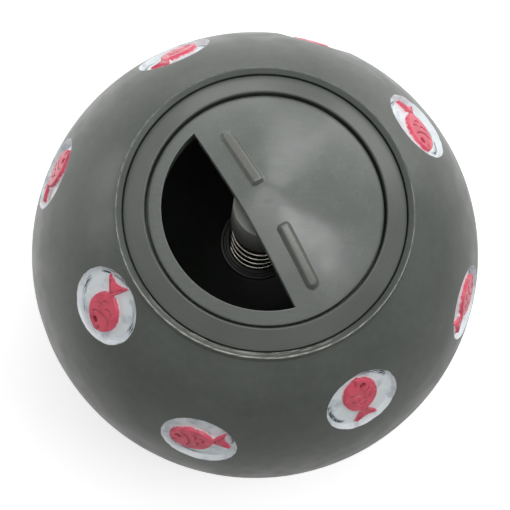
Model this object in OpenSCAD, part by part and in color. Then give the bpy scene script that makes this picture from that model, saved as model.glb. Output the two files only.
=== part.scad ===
// Treat dispensing ball: a hollow ball whose round lid has a dial with a segment cut out of it.
// A fixed half plate lies under the dial, so turning the dial opens or shuts the way for the treats.
// A coil spring on the spindle pulls the dial down. The origin is under the middle of the ball.

/* [Ball] */
// Outside diameter of the ball
ball_d = 75; // [68:0.5:95]
// Thickness of the ball's wall
wall = 2.6; // [1.8:0.1:3.6]
// Diameter of the flat land that the ball rests on
land_d = 14; // [8:0.5:18]
// Diameter of the round mouth in the ball
mouth_d = 43.8; // [42:0.2:48]
// Width of the raised lip around the mouth
lip_w = 1.4; // [1:0.1:2.4]
// Height of the lip above the ball
lip_h = 1; // [0.4:0.1:2]
// Width of the step in the mouth that carries the collar
step_w = 1; // [0.6:0.1:1.5]

/* [Collar] */
// Width of the collar's sloping face, from the mouth to its inner edge
collar_w = 3.35; // [2.6:0.05:4.5]
// Slope of the collar's face
collar_slope = 28; // [20:1:35]
// Thickness of the collar's flange at its outer edge
flange_t = 1.05; // [0.8:0.05:1.6]
// Width of the rounded bead around the collar's inner edge
bead_w = 0.9; // [0.6:0.1:1.4]
// Depth of the collar's skirt below the ball's inner skin
skirt_l = 1.6; // [1:0.1:3]
// Thickness of the skirt
skirt_t = 1.5; // [1.2:0.1:2]
// Reach of the barb that grips under the mouth
barb_w = 0.7; // [0.4:0.1:1]
// Width of the ledge that the half plate is set on
ledge_w = 2.3; // [1.6:0.1:2.8]

/* [Dial] */
// Gap between the dial and the collar
dial_gap = 0.4; // [0.3:0.05:0.8]
// Thickness of the dial
dial_t = 1.7; // [1.2:0.1:2.2]
// Depth of the dial's edge below the collar's bead
dial_sink = 0.5; // [0.2:0.05:1]
// Slope of the dial's dome at its edge
edge_slope = 26; // [24:1:30]
// Slope of the dial's dome at its middle
middle_slope = 12.3; // [8:0.1:16]
// Width of the rim left around the window
window_rim = 2.1; // [1.8:0.1:3.5]
// Distance from the axis to the window's straight edge
window_offset = 3.9; // [3.8:0.1:5]
// Width of a finger rib
rib_w = 1.9; // [1.2:0.1:3]
// Length of a finger rib
rib_l = 10.3; // [7:0.1:11]
// Height of a finger rib above the dome
rib_h = 1.05; // [0.6:0.05:1.8]
// Distance between the two ribs
rib_space = 7; // [4:0.1:9]
// Distance that both ribs lie to one side of the middle
rib_shift = 0.7; // [0:0.1:1]
// Diameter of the moulding mark in the middle of the dial
mark_d = 1.8; // [1:0.1:3]
// Depth of the moulding mark
mark_h = 0.15; // [0.1:0.05:0.4]
// Diameter of the boss under the dial that holds the spindle
boss_d = 7.2; // [6:0.1:7.4]

/* [Half plate] */
// Gap between the dial and the plate under it
plate_gap = 0.35; // [0.25:0.05:0.6]
// Thickness of the plate
plate_t = 1.4; // [1:0.1:2]
// Distance from the axis to the plate's straight edge
plate_offset = 2.4; // [1.5:0.1:3]
// Diameter of the hub that the spindle turns in
hub_d = 10.2; // [9.8:0.1:11]
// Length of the hub
hub_l = 10.2; // [8:0.1:14]
// Depth of the hub's end below the underside of the dial
hub_drop = 0.85; // [0.7:0.05:1.2]

/* [Spindle] */
// Diameter of the spindle
spindle_d = 4; // [3.6:0.1:4.6]
// Diameter of the thicker foot that stops the lift against the hub
foot_d = 5.8; // [5.2:0.1:6]
// Distance that the dial can be lifted
lift = 3; // [2:0.1:4]
// Clearance around a shaft in its hole
shaft_gap = 0.05; // [0.03:0.01:0.08]
// Clearance between flat faces that turn on each other
thrust_gap = 0.1; // [0.05:0.01:0.15]

/* [Spring] */
// Outside diameter of the coil spring
spring_d = 9.8; // [8.6:0.1:10]
// Length of the spring as fitted
spring_l = 14.4; // [12:0.1:17]
// Diameter of the spring wire
wire_d = 0.65; // [0.5:0.05:0.8]
// Number of turns
spring_turns = 4.5; // [3:0.5:6]

/* [Washer and screw] */
// Diameter of the spring washer
washer_d = 12.4; // [10:0.1:15]
// Thickness of the spring washer
washer_t = 1; // [0.8:0.1:1.6]
// Diameter of the screw
screw_d = 2.6; // [2:0.1:3]
// Length of the screw under its head
screw_l = 7.5; // [5:0.1:9]
// Diameter of the screw head
head_d = 5; // [4.2:0.1:6]
// Height of the screw head
head_h = 1.8; // [1.4:0.1:2.4]
// Width across the cross recess in the head
recess_d = 2.8; // [2:0.1:3.2]
// Width of one slot of the recess
recess_w = 0.7; // [0.4:0.05:0.9]
// Depth of the recess
recess_h = 1; // [0.6:0.1:1.2]

/* [Medallions] */
// Diameter of a medallion's pocket
medallion_d = 12; // [9:0.1:13]
// Depth of the pocket
pocket_h = 0.9; // [0.5:0.05:1.2]
// Height of the fish above the pocket's floor
fish_h = 0.7; // [0.3:0.05:0.9]
// Length of the fish
fish_l = 10; // [6:0.1:10.4]
// Width across the fish's body
fish_w = 5.8; // [3:0.1:6]
// Diameter of the fish's eye
eye_d = 1; // [0.5:0.05:1.2]

/* [Hidden] */

$fn = 96;
over = 0.5;
grey = "#6b6e6a";
light_grey = "#7c7f7b";
steel = "#c9c9c6";

// Ball and mouth, with heights measured from the middle of the ball
ball_r = ball_d / 2;
inner_r = ball_r - wall;
mouth_r = mouth_d / 2;
step_r = mouth_r - step_w;
middle_z = sqrt(ball_r * ball_r - land_d * land_d / 4);
mouth_h = ball_height(mouth_r, ball_r);
lip_r = lip_w / 2;
lip_middle_h = ball_height(mouth_r + lip_r, ball_r) + lip_h - lip_r;

// Collar: its sloping face climbs from the mouth to the bead
seat_gap = 0.1;
collar_r = mouth_r - seat_gap;
collar_edge_h = mouth_h - seat_gap;
step_h = collar_edge_h - flange_t;
skirt_r = step_r - seat_gap;
bead_r = collar_r - collar_w + bead_w / 2;
bead_foot_h = collar_edge_h + (collar_w - bead_w) * tan(collar_slope);
bead_top_h = bead_foot_h + bead_w / 2;
well_r = bead_r - bead_w / 2;
skirt_bottom_h = ball_height(skirt_r + barb_w, inner_r) - skirt_l;

// Dial: an arc whose slope runs from the middle to the edge, turned about the axis
dial_r = well_r - dial_gap;
dome_r = dial_r / (sin(edge_slope) - sin(middle_slope));
dial_edge_h = bead_top_h - dial_sink;
dome_middle_r = -dome_r * sin(middle_slope);
dome_middle_h = dial_edge_h - dome_r * cos(edge_slope);
apex_h = dome_height(0);
edge_round = dial_t * 0.15;
window_r = dial_r - window_rim;

// Half plate: it is set on the collar's ledge and carries the hub
ledge_r = well_r - ledge_w;
plate_r = well_r - ledge_w / 2;
plate_rim_r = ledge_r - plate_t;
plate_edge_t = plate_t / 2;
ledge_h = dome_height(plate_r) - dial_t - plate_gap - plate_edge_t;
ledge_bottom_h = ledge_h - plate_t;
hub_top_h = dome_height(hub_d / 2) - dial_t - hub_drop;
hub_bottom_h = hub_top_h - hub_l;

// Spindle, spring, washer and screw
washer_h = hub_bottom_h - spring_l;
foot_top_h = hub_bottom_h - lift - thrust_gap;
foot_bottom_h = washer_h + thrust_gap;
spindle_top_h = apex_h - dial_t / 2 - thrust_gap;
head_top_h = washer_h - washer_t - thrust_gap;
tip_gap = 0.6;
screw_hole_h = head_top_h + screw_l + tip_gap;

// Spring: sides of the wire, rings in a turn, and the small bend at each end
wire_sides = 6;
turn_rings = 8;
bend_rings = 3;
bend_r = wire_d * 0.75;
coil_r = (spring_d - wire_d) / 2;
turn_l = 2 * PI * coil_r;

// Medallions, as the angle from the lid's axis and the angle around it, staggered in five rows
UPPER_PLACES = [[58.4, 0], [53.8, 94], [61.8, 176], [49, 270],
    [71.8, 43.5], [70, 135], [70, 223], [68.5, 314]];
MIDDLE_PLACES = [[104, 0], [104, 90], [104, 180], [97, 259]];
LOWER_PLACES = [for (turn = [0 : 3]) [122, 45 + 90 * turn], for (turn = [0 : 3]) [150, 90 * turn]];
PLACES = concat(UPPER_PLACES, MIDDLE_PLACES, LOWER_PLACES);
// Each fish is turned on by this angle from the one before it
fish_turn = 67;
// Angle around the axis at which no medallion lies
seam_turn = 22;

// Fish, as shares of its length, measured from the tip of its nose
fish_body_share = 0.74;
fish_waist_share = 0.68;
fish_notch_share = 0.9;
fish_eye_share = 0.17;
fish_tail_share = 0.42;
// Distance of the eye from the fish's middle line, as a share of the width across its body
eye_side_share = 0.125;

// Height of a sphere of radius big above its middle, at distance r from the axis
function ball_height(r, big) = sqrt(big * big - r * r);

// Height of the dial's dome at distance r from the axis
function dome_height(r) = dome_middle_h + sqrt(dome_r * dome_r - (r - dome_middle_r) ^ 2);

// Points of an arc about a middle point, from one angle to another
function arc(middle, r, from, to, steps = 6) =
    [for (i = [0 : steps]) let (turn = from + (to - from) * i / steps) middle + r * [cos(turn), sin(turn)]];

// Points of the dome's line between two distances from the axis, raised by lift_h
function dome_line(from, to, lift_h, steps = 10) =
    [for (i = [0 : steps]) let (r = from + (to - from) * i / steps) [r, dome_height(r) + lift_h]];

function flipped(points) = [for (i = [len(points) - 1 : -1 : 0]) points[i]];

// A solid turned about the axis from an outline of radius and height above the ball's middle
module turned(points) {
    translate([0, 0, middle_z])
        rotate_extrude()
            polygon(points);
}

// A rod along the axis between two heights above the ball's middle
module rod(r, bottom, top) {
    translate([0, 0, middle_z + bottom])
        cylinder(r = r, h = top - bottom);
}

// A block that holds everything behind the plane at this y
module behind(y) {
    translate([-ball_r, y, 0])
        cube([ball_d, ball_d, 2 * ball_d]);
}

// A sphere whose seam runs down between two medallions
module ball(r) {
    translate([0, 0, middle_z])
        rotate([0, 0, seam_turn])
            sphere(r = r);
}

// Puts its children on the ball's skin at a medallion's place, pointing outwards
module at_place(place) {
    translate([0, 0, middle_z])
        rotate([0, place[0], place[1]])
            children();
}

module fish_outline() {
    body_l = fish_l * fish_body_share;
    body_r = (body_l * body_l + fish_w * fish_w) / (4 * fish_w);
    tail_w = fish_l * fish_tail_share;
    translate([-fish_l / 2, 0])
        difference() {
            union() {
                intersection() {
                    translate([body_l / 2, body_r - fish_w / 2])
                        circle(r = body_r);
                    translate([body_l / 2, fish_w / 2 - body_r])
                        circle(r = body_r);
                }
                polygon([[fish_l * fish_waist_share, 0], [fish_l, tail_w / 2],
                    [fish_l * fish_notch_share, 0], [fish_l, -tail_w / 2]]);
            }
            translate([fish_l * fish_eye_share, fish_w * eye_side_share])
                circle(d = eye_d, $fn = 24);
        }
}

// The fish stand on the floors of their pockets and end below the ball's skin
module all_fish() {
    intersection() {
        ball(ball_r - pocket_h + fish_h);
        for (i = [0 : len(PLACES) - 1])
            at_place(PLACES[i])
                translate([0, 0, inner_r + wall / 4])
                    rotate([0, 0, fish_turn * i])
                        linear_extrude(height = wall)
                            fish_outline();
    }
}

module lip() {
    low_h = mouth_h - lip_w;
    turned(concat([[mouth_r - over, low_h], [mouth_r + lip_w, low_h]],
        arc([mouth_r + lip_r, lip_middle_h], lip_r, 0, 180),
        [[mouth_r - over, lip_middle_h]]));
}

module ball_shell() {
    color(grey)
        difference() {
            union() {
                difference() {
                    ball(ball_r);
                    for (place = PLACES)
                        at_place(place)
                            translate([0, 0, inner_r])
                                cylinder(d = medallion_d, h = wall + over);
                }
                ball(ball_r - pocket_h);
                all_fish();
                lip();
            }
            ball(inner_r);
            rod(step_r, 0, ball_r + lip_w);
            rod(mouth_r, step_h, ball_r + lip_w);
            translate([0, 0, -ball_r])
                cylinder(r = ball_r, h = ball_r);
        }
}

module collar_ring() {
    barb_r = skirt_r + barb_w;
    barb_top = ball_height(skirt_r, inner_r) - seat_gap;
    barb_edge = ball_height(barb_r, inner_r) - seat_gap;
    skirt_in_r = skirt_r - skirt_t;
    color(grey)
        turned(concat([[collar_r, collar_edge_h], [collar_r, step_h], [skirt_r, step_h], [skirt_r, barb_top],
            [barb_r, barb_edge], [skirt_r - seat_gap, skirt_bottom_h], [skirt_in_r, skirt_bottom_h],
            [skirt_in_r, ledge_bottom_h], [ledge_r, ledge_bottom_h], [ledge_r, ledge_h], [well_r, ledge_h],
            [well_r, bead_foot_h]],
            arc([bead_r, bead_foot_h], bead_w / 2, 180, 0)));
}

module shutter_plate() {
    color(grey)
        difference() {
            union() {
                intersection() {
                    union() {
                        turned(concat(dome_line(0, ledge_r - seat_gap, -dial_t - plate_gap),
                            flipped(dome_line(0, ledge_r - seat_gap, -dial_t - plate_gap - plate_t))));
                        turned(concat(dome_line(plate_rim_r, plate_r, -dial_t - plate_gap, 3),
                            [[plate_r, ledge_h], [plate_rim_r, ledge_h]]));
                    }
                    behind(-plate_offset);
                }
                rod(hub_d / 2, hub_bottom_h, hub_top_h);
            }
            rod(hub_d / 2, hub_top_h, apex_h);
            rod(spindle_d / 2 + shaft_gap, hub_bottom_h - over, apex_h);
        }
}

module rib(side) {
    reach = rib_l / 2 - rib_w / 2;
    translate([rib_shift + side * (rib_space + rib_l) / 2, 0, middle_z + dial_edge_h])
        linear_extrude(height = ball_r)
            union() {
                square([2 * reach, rib_w], center = true);
                translate([-reach, 0])
                    circle(d = rib_w);
                translate([reach, 0])
                    circle(d = rib_w);
            }
}

module dial() {
    rim_arc = arc([dial_r - edge_round, dome_height(dial_r - edge_round) - edge_round], edge_round, 60, 0, 4);
    color(light_grey)
        difference() {
            union() {
                turned(concat(dome_line(0, dial_r - edge_round, 0), rim_arc, [[dial_r, dial_edge_h - dial_t]],
                    flipped(dome_line(0, dial_r - edge_round, -dial_t))));
                intersection() {
                    turned(concat(dome_line(0, dial_r, rib_h), flipped(dome_line(0, dial_r, -dial_t / 2))));
                    union() {
                        rib(-1);
                        rib(1);
                    }
                }
                rod(boss_d / 2, hub_top_h + thrust_gap, apex_h - dial_t);
            }
            intersection() {
                rod(window_r, hub_bottom_h, ball_r + dial_t);
                mirror([0, 1, 0])
                    behind(window_offset);
            }
            rod(spindle_d / 2 + shaft_gap, hub_bottom_h, spindle_top_h + thrust_gap);
            rod(mark_d / 2, apex_h - mark_h, ball_r + dial_t);
        }
}

module spindle() {
    color(grey)
        difference() {
            union() {
                rod(spindle_d / 2, foot_bottom_h, spindle_top_h);
                rod(foot_d / 2, foot_bottom_h, foot_top_h);
            }
            rod(screw_d / 2 + shaft_gap, washer_h - over, screw_hole_h);
        }
}

// The wire's middle line, as the way around the coil and the height, straight at both ends
function wire_line() =
    let (low = washer_h, high = hub_bottom_h, low_bend = low + wire_d, high_bend = high - wire_d,
        climb = high_bend - low_bend - 2 * bend_r, run = turn_l * spring_turns,
        rings = turn_rings * spring_turns)
    concat([[0, low]], arc([bend_r, low_bend], bend_r, 180, 90, bend_rings),
        [for (i = [1 : rings - 1]) [bend_r + run * i / rings, low_bend + bend_r + climb * i / rings]],
        arc([bend_r + run, high_bend], bend_r, -90, 0, bend_rings), [[2 * bend_r + run, high]]);

function on_coil(p) =
    let (turn = p[0] / coil_r * 180 / PI)
    [coil_r * cos(turn), coil_r * sin(turn), p[1]];

// One ring of points square to the wire, between the points before and after it
function wire_ring(line, i) =
    let (last = len(line) - 1, p = on_coil(line[i]), before = on_coil(line[max(i - 1, 0)]),
        after = on_coil(line[min(i + 1, last)]),
        way = i == 0 || i == last ? [0, 0, 1] : (after - before) / norm(after - before),
        out = [p[0], p[1], 0] / coil_r, side = cross(way, out))
    [for (k = [0 : wire_sides - 1]) let (a = 360 * k / wire_sides)
        p + wire_d / 2 * (cos(a) * out + sin(a) * side)];

module spring() {
    line = wire_line();
    last = len(line) - 1;
    apart = turn_rings / 2;
    gaps = [for (i = [0 : last - apart]) for (j = [i + apart : last])
        norm(on_coil(line[i]) - on_coil(line[j]))];
    echo(spring_gap = min(gaps) - wire_d);
    points = [for (i = [0 : last]) each wire_ring(line, i)];
    sides = [for (i = [0 : last - 1]) for (k = [0 : wire_sides - 1])
        let (a = i * wire_sides + k, b = i * wire_sides + (k + 1) % wire_sides)
        each [[a, b, b + wire_sides], [a, b + wire_sides, a + wire_sides]]];
    caps = [for (k = [1 : wire_sides - 2]) each [[0, k + 1, k],
        [last * wire_sides, last * wire_sides + k, last * wire_sides + k + 1]]];
    color(steel)
        translate([0, 0, middle_z])
            polyhedron(points, concat(sides, caps));
}

module spring_washer() {
    color(grey)
        difference() {
            rod(washer_d / 2, washer_h - washer_t, washer_h);
            rod(screw_d / 2 + shaft_gap, head_top_h, washer_h + over);
        }
}

module retaining_screw() {
    color(steel)
        difference() {
            union() {
                rod(screw_d / 2, head_top_h - head_h / 2, head_top_h + screw_l);
                rod(head_d / 2, head_top_h - head_h, head_top_h);
            }
            translate([0, 0, middle_z + head_top_h - head_h])
                for (turn = [0, 90])
                    rotate([0, 0, turn])
                        cube([recess_d, recess_w, 2 * recess_h], center = true);
        }
}

ball_shell();
collar_ring();
shutter_plate();
dial();
spindle();
spring();
spring_washer();
retaining_screw();
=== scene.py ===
"""The looks of a treat dispensing ball: its painted skin, the lid with its turning dial, and the spring.

Lengths in the classes are millimetres in the frame of the CAD model, but heights are measured from the
middle of the ball. They become metres from the floor when a piece is finished.
"""

import logging
import math
from collections.abc import Callable, Sequence
from dataclasses import dataclass, field
from enum import Enum

import bmesh
import bpy
import numpy as np
from mathutils import Matrix, Vector
from mathutils.geometry import delaunay_2d_cdt
from mathutils.kdtree import KDTree


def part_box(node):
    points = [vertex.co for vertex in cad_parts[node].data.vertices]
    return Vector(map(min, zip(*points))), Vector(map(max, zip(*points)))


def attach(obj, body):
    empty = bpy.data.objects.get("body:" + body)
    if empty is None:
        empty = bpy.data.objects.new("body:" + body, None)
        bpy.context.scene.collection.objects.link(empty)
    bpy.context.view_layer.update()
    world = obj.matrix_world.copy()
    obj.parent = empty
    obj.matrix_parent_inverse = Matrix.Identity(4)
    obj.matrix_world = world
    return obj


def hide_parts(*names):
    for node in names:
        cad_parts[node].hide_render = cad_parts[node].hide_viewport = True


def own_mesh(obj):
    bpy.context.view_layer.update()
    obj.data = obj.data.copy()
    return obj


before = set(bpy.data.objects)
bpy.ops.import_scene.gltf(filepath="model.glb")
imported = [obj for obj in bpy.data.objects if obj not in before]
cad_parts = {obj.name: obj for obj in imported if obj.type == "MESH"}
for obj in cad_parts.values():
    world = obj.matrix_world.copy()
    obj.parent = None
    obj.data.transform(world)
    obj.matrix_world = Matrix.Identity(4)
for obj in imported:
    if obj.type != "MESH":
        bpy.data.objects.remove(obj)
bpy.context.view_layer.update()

LOG = logging.getLogger("treat_ball")
MM = 0.001
# A gap that counts as far from a medallion, and the distance at which two points become one
FAR = 5.0
MERGE = 0.002


class Body(Enum):
    """The bodies of the frame that the pieces ride on."""

    BALL = "ball"
    LIFTER = "lifter"
    DIAL = "dial"


class Slot(Enum):
    """The record's material slots."""

    BALL = "ball_plastic"
    LID = "lid_plastic"
    DIAL = "dial_plastic"
    SPRING = "spring_steel"
    SCREW = "screw_steel"


@dataclass(frozen=True)
class Span:
    """How far a node of the frame reaches, in millimetres.

    Attributes:
        radius: Its reach from the axis.
        low: Height of its lowest point above the ball's middle.
        high: Height of its highest point.
    """

    radius: float
    low: float
    high: float

    @classmethod
    def of(cls, node: str, middle_z: float) -> "Span":
        """Returns the reach of a node, for a ball whose middle is this high above the floor."""
        low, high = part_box(node)
        return cls(high[0] / MM, low[2] / MM - middle_z, high[2] / MM - middle_z)


@dataclass
class Skin:
    """A mesh in the making.

    Attributes:
        points: Places, one a row.
        faces: The point numbers of each face.
        values: Numbers that the points carry, by name.
    """

    points: np.ndarray
    faces: list[tuple[int, ...]]
    values: dict[str, np.ndarray] = field(default_factory=dict)


def joined(skins: Sequence[Skin]) -> Skin:
    """Puts skins into one, and leaves their shared points double.

    Args:
        skins: The skins. A value that one of them lacks is FAR there.

    Returns:
        One skin with all the points and faces.
    """
    names = sorted({name for skin in skins for name in skin.values})
    faces: list[tuple[int, ...]] = []
    start = 0
    for skin in skins:
        faces.extend(tuple(start + corner for corner in face) for face in skin.faces)
        start += len(skin.points)
    values = {
        name: np.concatenate([skin.values.get(name, np.full(len(skin.points), FAR)) for skin in skins])
        for name in names
    }
    return Skin(np.concatenate([skin.points for skin in skins]), faces, values)


def arc(middle: tuple[float, float], radius: float, start: float, end: float, steps: int) -> np.ndarray:
    """Returns the points of an arc in the plane, both ends included, for angles in degrees."""
    turn = np.radians(np.linspace(start, end, steps + 1))
    return np.stack([middle[0] + radius * np.cos(turn), middle[1] + radius * np.sin(turn)], axis=1)


def hoop(radius: float, count: int, middle: tuple[float, float] = (0.0, 0.0)) -> np.ndarray:
    """Returns this many points of a circle, with the first one not repeated."""
    return arc(middle, radius, 0, 360, count)[:-1]


def circle(radius: float, spacing: float, middle: tuple[float, float] = (0.0, 0.0)) -> np.ndarray:
    """Returns the points of a circle at about this spacing."""
    return hoop(radius, max(12, round(2 * math.pi * radius / spacing)), middle)


def radii(places: np.ndarray) -> np.ndarray:
    """Returns the distance of each place in the plane from its middle."""
    return np.hypot(*places.T)


def side_gap(places: np.ndarray, start: np.ndarray, end: np.ndarray) -> np.ndarray:
    """Returns the distance of each place from the straight side between two points."""
    way = end - start
    share = np.clip((places - start) @ way / (way @ way), 0, 1)
    return np.linalg.norm(places - start - share[:, None] * way, axis=1)


def line_gap(places: np.ndarray, lines: Sequence[np.ndarray]) -> np.ndarray:
    """Returns the distance of each place from the nearest of some open lines."""
    return np.min([side_gap(places, *side) for line in lines for side in zip(line, line[1:])], axis=0)


def rounded(corners: Sequence[tuple[float, float, float]], steps: int = 4, hold: float = 0.05) -> np.ndarray:
    """Rounds the corners of an open line, and holds the straight stretches beside each rounding.

    Args:
        corners: Each corner with the radius of its rounding.
        steps: Chords in each rounding.
        hold: Distance from the end of a rounding to a point that keeps the stretch beside it flat.

    Returns:
        The line's points.
    """
    places = np.array([corner[:2] for corner in corners], float)
    line = [places[0]]
    for k in range(1, len(places) - 1):
        here, radius = places[k], corners[k][2]
        back, on = places[k - 1] - here, places[k + 1] - here
        back_l, on_l = np.linalg.norm(back), np.linalg.norm(on)
        back, on = back / back_l, on / on_l
        turn = math.pi - math.acos(float(np.clip(back @ on, -1, 1)))
        reach = radius * math.tan(turn / 2)
        if radius <= 0 or reach < 1e-4:
            line.append(here)
            continue
        room = 0.45 * min(back_l, on_l)
        if reach > room:
            radius, reach = radius * room / reach, room
        middle = here + (back + on) / np.linalg.norm(back + on) * radius / math.cos(turn / 2)
        first, last = here + back * reach - middle, here + on * reach - middle
        if back_l - reach > 2 * hold:
            line.append(here + back * (reach + hold))
        for share in np.linspace(0, 1, steps + 1):
            way = (math.sin((1 - share) * turn) * first + math.sin(share * turn) * last) / math.sin(turn)
            line.append(middle + way)
        if on_l - reach > 2 * hold:
            line.append(here + on * (reach + hold))
    line.append(places[-1])
    return np.array(line)


def lathe(line: np.ndarray, columns: int, closed: bool = False) -> Skin:
    """Turns a line of radius and height about the axis.

    Args:
        line: The line's points. An end on the axis becomes one point.
        columns: Number of points around.
        closed: Whether the line's end joins its start.

    Returns:
        The turned skin.
    """
    turn = 2 * math.pi * np.arange(columns) / columns
    ways = np.stack([np.cos(turn), np.sin(turn)], axis=1)
    points: list[np.ndarray] = []
    rows: list[list[int]] = []
    for radius, height in line:
        on_axis = radius < MERGE
        start = len(points)
        if on_axis:
            points.append(np.array([0.0, 0.0, height]))
        else:
            points.extend(np.array([radius * way[0], radius * way[1], height]) for way in ways)
        rows.append([start] * columns if on_axis else list(range(start, start + columns)))
    pairs = list(zip(rows, rows[1:])) + ([(rows[-1], rows[0])] if closed else [])
    return Skin(np.array(points), banded(pairs, columns))


def banded(pairs: Sequence[tuple[list[int], list[int]]], columns: int) -> list[tuple[int, ...]]:
    """Returns the faces between pairs of closed rows of points, where a row of one point is a pole."""
    faces: list[tuple[int, ...]] = []
    for low, high in pairs:
        for k in range(columns):
            nxt = (k + 1) % columns
            face = (low[k], low[nxt], high[nxt], high[k])
            faces.append(tuple(dict.fromkeys(face)))
    return faces


@dataclass(frozen=True)
class Shoulder:
    """The cross section of a moulded wall that climbs across an outline.

    Attributes:
        height: How far the wall climbs.
        foot: Radius of the hollow fillet at its foot.
        crown: Radius of the rounding at its top.
        lean: Width of the wall between the two.
        steps: Chords in each rounding.
    """

    height: float
    foot: float
    crown: float
    lean: float = 0.04
    steps: int = 3

    def line(self) -> tuple[np.ndarray, np.ndarray]:
        """Returns the gaps to the outline, from inside to outside, and the heights there."""
        turn = np.linspace(0, math.pi / 2, self.steps + 1)
        foot_gap = self.lean / 2 + self.foot * (1 - np.sin(turn))
        crown_gap = -self.lean / 2 - self.crown * (1 - np.cos(turn))
        gaps = np.concatenate([foot_gap, crown_gap])[::-1]
        heights = np.concatenate([
            self.foot * (1 - np.cos(turn)),
            self.height - self.crown * (1 - np.sin(turn)),
        ])[::-1]
        return gaps, heights

    def rise(self, gap: np.ndarray) -> np.ndarray:
        """Returns the height at each gap, which is negative inside the outline."""
        return np.interp(gap, *self.line())

    def rows(self, hold: float = 0.08) -> list[float]:
        """Returns the gaps at which a mesh needs a row of points."""
        gaps = self.line()[0]
        return [gaps[0] - hold, *gaps, gaps[-1] + hold]


@dataclass(frozen=True)
class Edge:
    """A rounded edge at the rim of a sheet.

    Attributes:
        radius: Radius of the rounding.
        steps: Chords in it.
    """

    radius: float
    steps: int = 4

    def drop(self, gap: np.ndarray) -> np.ndarray:
        """Returns how far the surface drops at each gap inside the outline."""
        left = np.clip(self.radius + gap, 0, self.radius)
        return self.radius - np.sqrt(self.radius**2 - left**2)

    def rows(self, hold: float = 0.08) -> list[float]:
        """Returns the gaps at which a mesh needs a row of points."""
        turn = np.linspace(0, math.pi / 2, self.steps + 1)
        return [*(-self.radius * (1 - np.cos(turn))), -self.radius - hold]


class Loop:
    """A closed outline in the plane, run counter-clockwise, that gives rows of points beside it."""

    FAN = math.radians(20)

    def __init__(self, corners: np.ndarray, spacing: float) -> None:
        """Samples the outline.

        Args:
            corners: Its points in order.
            spacing: Distance between points along its sides.
        """
        corners = divided(corners, spacing)
        way = np.roll(corners, -1, axis=0) - corners
        way = way / np.linalg.norm(way, axis=1)[:, None]
        out = np.stack([way[:, 1], -way[:, 0]], axis=1)
        points, normals = [], []
        for k, corner in enumerate(corners):
            turn = math.acos(float(np.clip(out[k - 1] @ out[k], -1, 1)))
            fan = max(1, round(turn / self.FAN)) if turn > self.FAN else 0
            for j in range(fan + 1):
                share = j / fan if fan else 0.5
                normal = (1 - share) * out[k - 1] + share * out[k]
                points.append(corner)
                normals.append(normal / np.linalg.norm(normal))
        self.corners = corners
        self.points = np.array(points)
        self.normals = np.array(normals)

    def gap(self, places: np.ndarray) -> np.ndarray:
        """Returns the distance of each place from the outline, negative inside."""
        nearest = np.full(len(places), np.inf)
        inside = np.zeros(len(places), bool)
        for start, end in zip(self.corners, np.roll(self.corners, -1, axis=0)):
            nearest = np.minimum(nearest, side_gap(places, start, end))
            way = end - start
            if way[1]:
                crosses = (start[1] > places[:, 1]) != (end[1] > places[:, 1])
                left = places[:, 0] < start[0] + (places[:, 1] - start[1]) * way[0] / way[1]
                inside ^= crosses & left
        return np.where(inside, -nearest, nearest)

    def row(self, offset: float) -> np.ndarray:
        """Returns the points that lie at this gap, inside the outline if it is negative."""
        moved = self.points + offset * self.normals
        return moved[np.abs(self.gap(moved) - offset) < 0.02 * abs(offset) + 1e-3]


def even(line: np.ndarray, spacing: float) -> np.ndarray:
    """Returns a closed line's points at even distances along it."""
    ring = np.concatenate([line, line[:1]])
    along = np.concatenate([[0], np.cumsum(np.linalg.norm(np.diff(ring, axis=0), axis=1))])
    places = np.linspace(0, along[-1], max(8, round(along[-1] / spacing)) + 1)[:-1]
    return np.stack([np.interp(places, along, ring[:, 0]), np.interp(places, along, ring[:, 1])], axis=1)


def divided(corners: np.ndarray, spacing: float) -> np.ndarray:
    """Returns a closed line's corners with points between them wherever a side is long."""
    line = []
    for start, end in zip(corners, np.roll(corners, -1, axis=0)):
        count = max(1, round(float(np.linalg.norm(end - start)) / spacing))
        line.extend(start + (end - start) * k / count for k in range(count))
    return np.array(line)


def softened(line: np.ndarray, times: int) -> np.ndarray:
    """Returns a closed line with its corners cut, and cut again."""
    for _ in range(times):
        after = np.roll(line, -1, axis=0)
        line = np.stack([0.75 * line + 0.25 * after, 0.25 * line + 0.75 * after], axis=1).reshape(-1, 2)
    return line


def lattice(reach: float, spacing: float) -> np.ndarray:
    """Returns points at even distances that fill a square."""
    rows = np.arange(-reach, reach, spacing * math.sqrt(3) / 2)
    columns = np.arange(-reach, reach, spacing)
    return np.array([
        (x + (k % 2) * spacing / 2, y) for k, y in enumerate(rows) for x in columns
    ])


def spread(groups: Sequence[np.ndarray], fill: np.ndarray, clear: float, least: float = 0.012) -> np.ndarray:
    """Puts rows of points together with points that fill the space between them.

    Args:
        groups: The rows. Of two points nearer than least, the later one is left out.
        fill: The filling points. One nearer than clear to a row is left out.
        clear: That distance.
        least: The least distance between row points.

    Returns:
        The points that stay.
    """
    rows = np.concatenate(groups)
    tree = KDTree(len(rows))
    for k, place in enumerate(rows):
        tree.insert((*place, 0), k)
    tree.balance()
    kept = [
        place for k, place in enumerate(rows)
        if not any(other < k for _, other, _ in tree.find_range((*place, 0), least))
    ]
    kept += [place for place in fill if tree.find((*place, 0))[2] > clear]
    return np.array(kept)


def triangulated(points: np.ndarray, rings: Sequence[np.ndarray]) -> tuple[np.ndarray, np.ndarray]:
    """Joins points in the plane with triangles.

    Args:
        points: The points.
        rings: Closed rows of points whose sides have to be in the mesh.

    Returns:
        The points and the triangles, among them those outside the rings.
    """
    places = [Vector(place) for place in points]
    sides: list[tuple[int, int]] = []
    for ring in rings:
        start, count = len(places), len(ring)
        places.extend(Vector(place) for place in ring)
        sides.extend((start + k, start + (k + 1) % count) for k in range(count))
    made = delaunay_2d_cdt(places, sides, [], 0, 1e-4)
    return np.array([tuple(place) for place in made[0]]), np.array(made[2])


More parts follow.
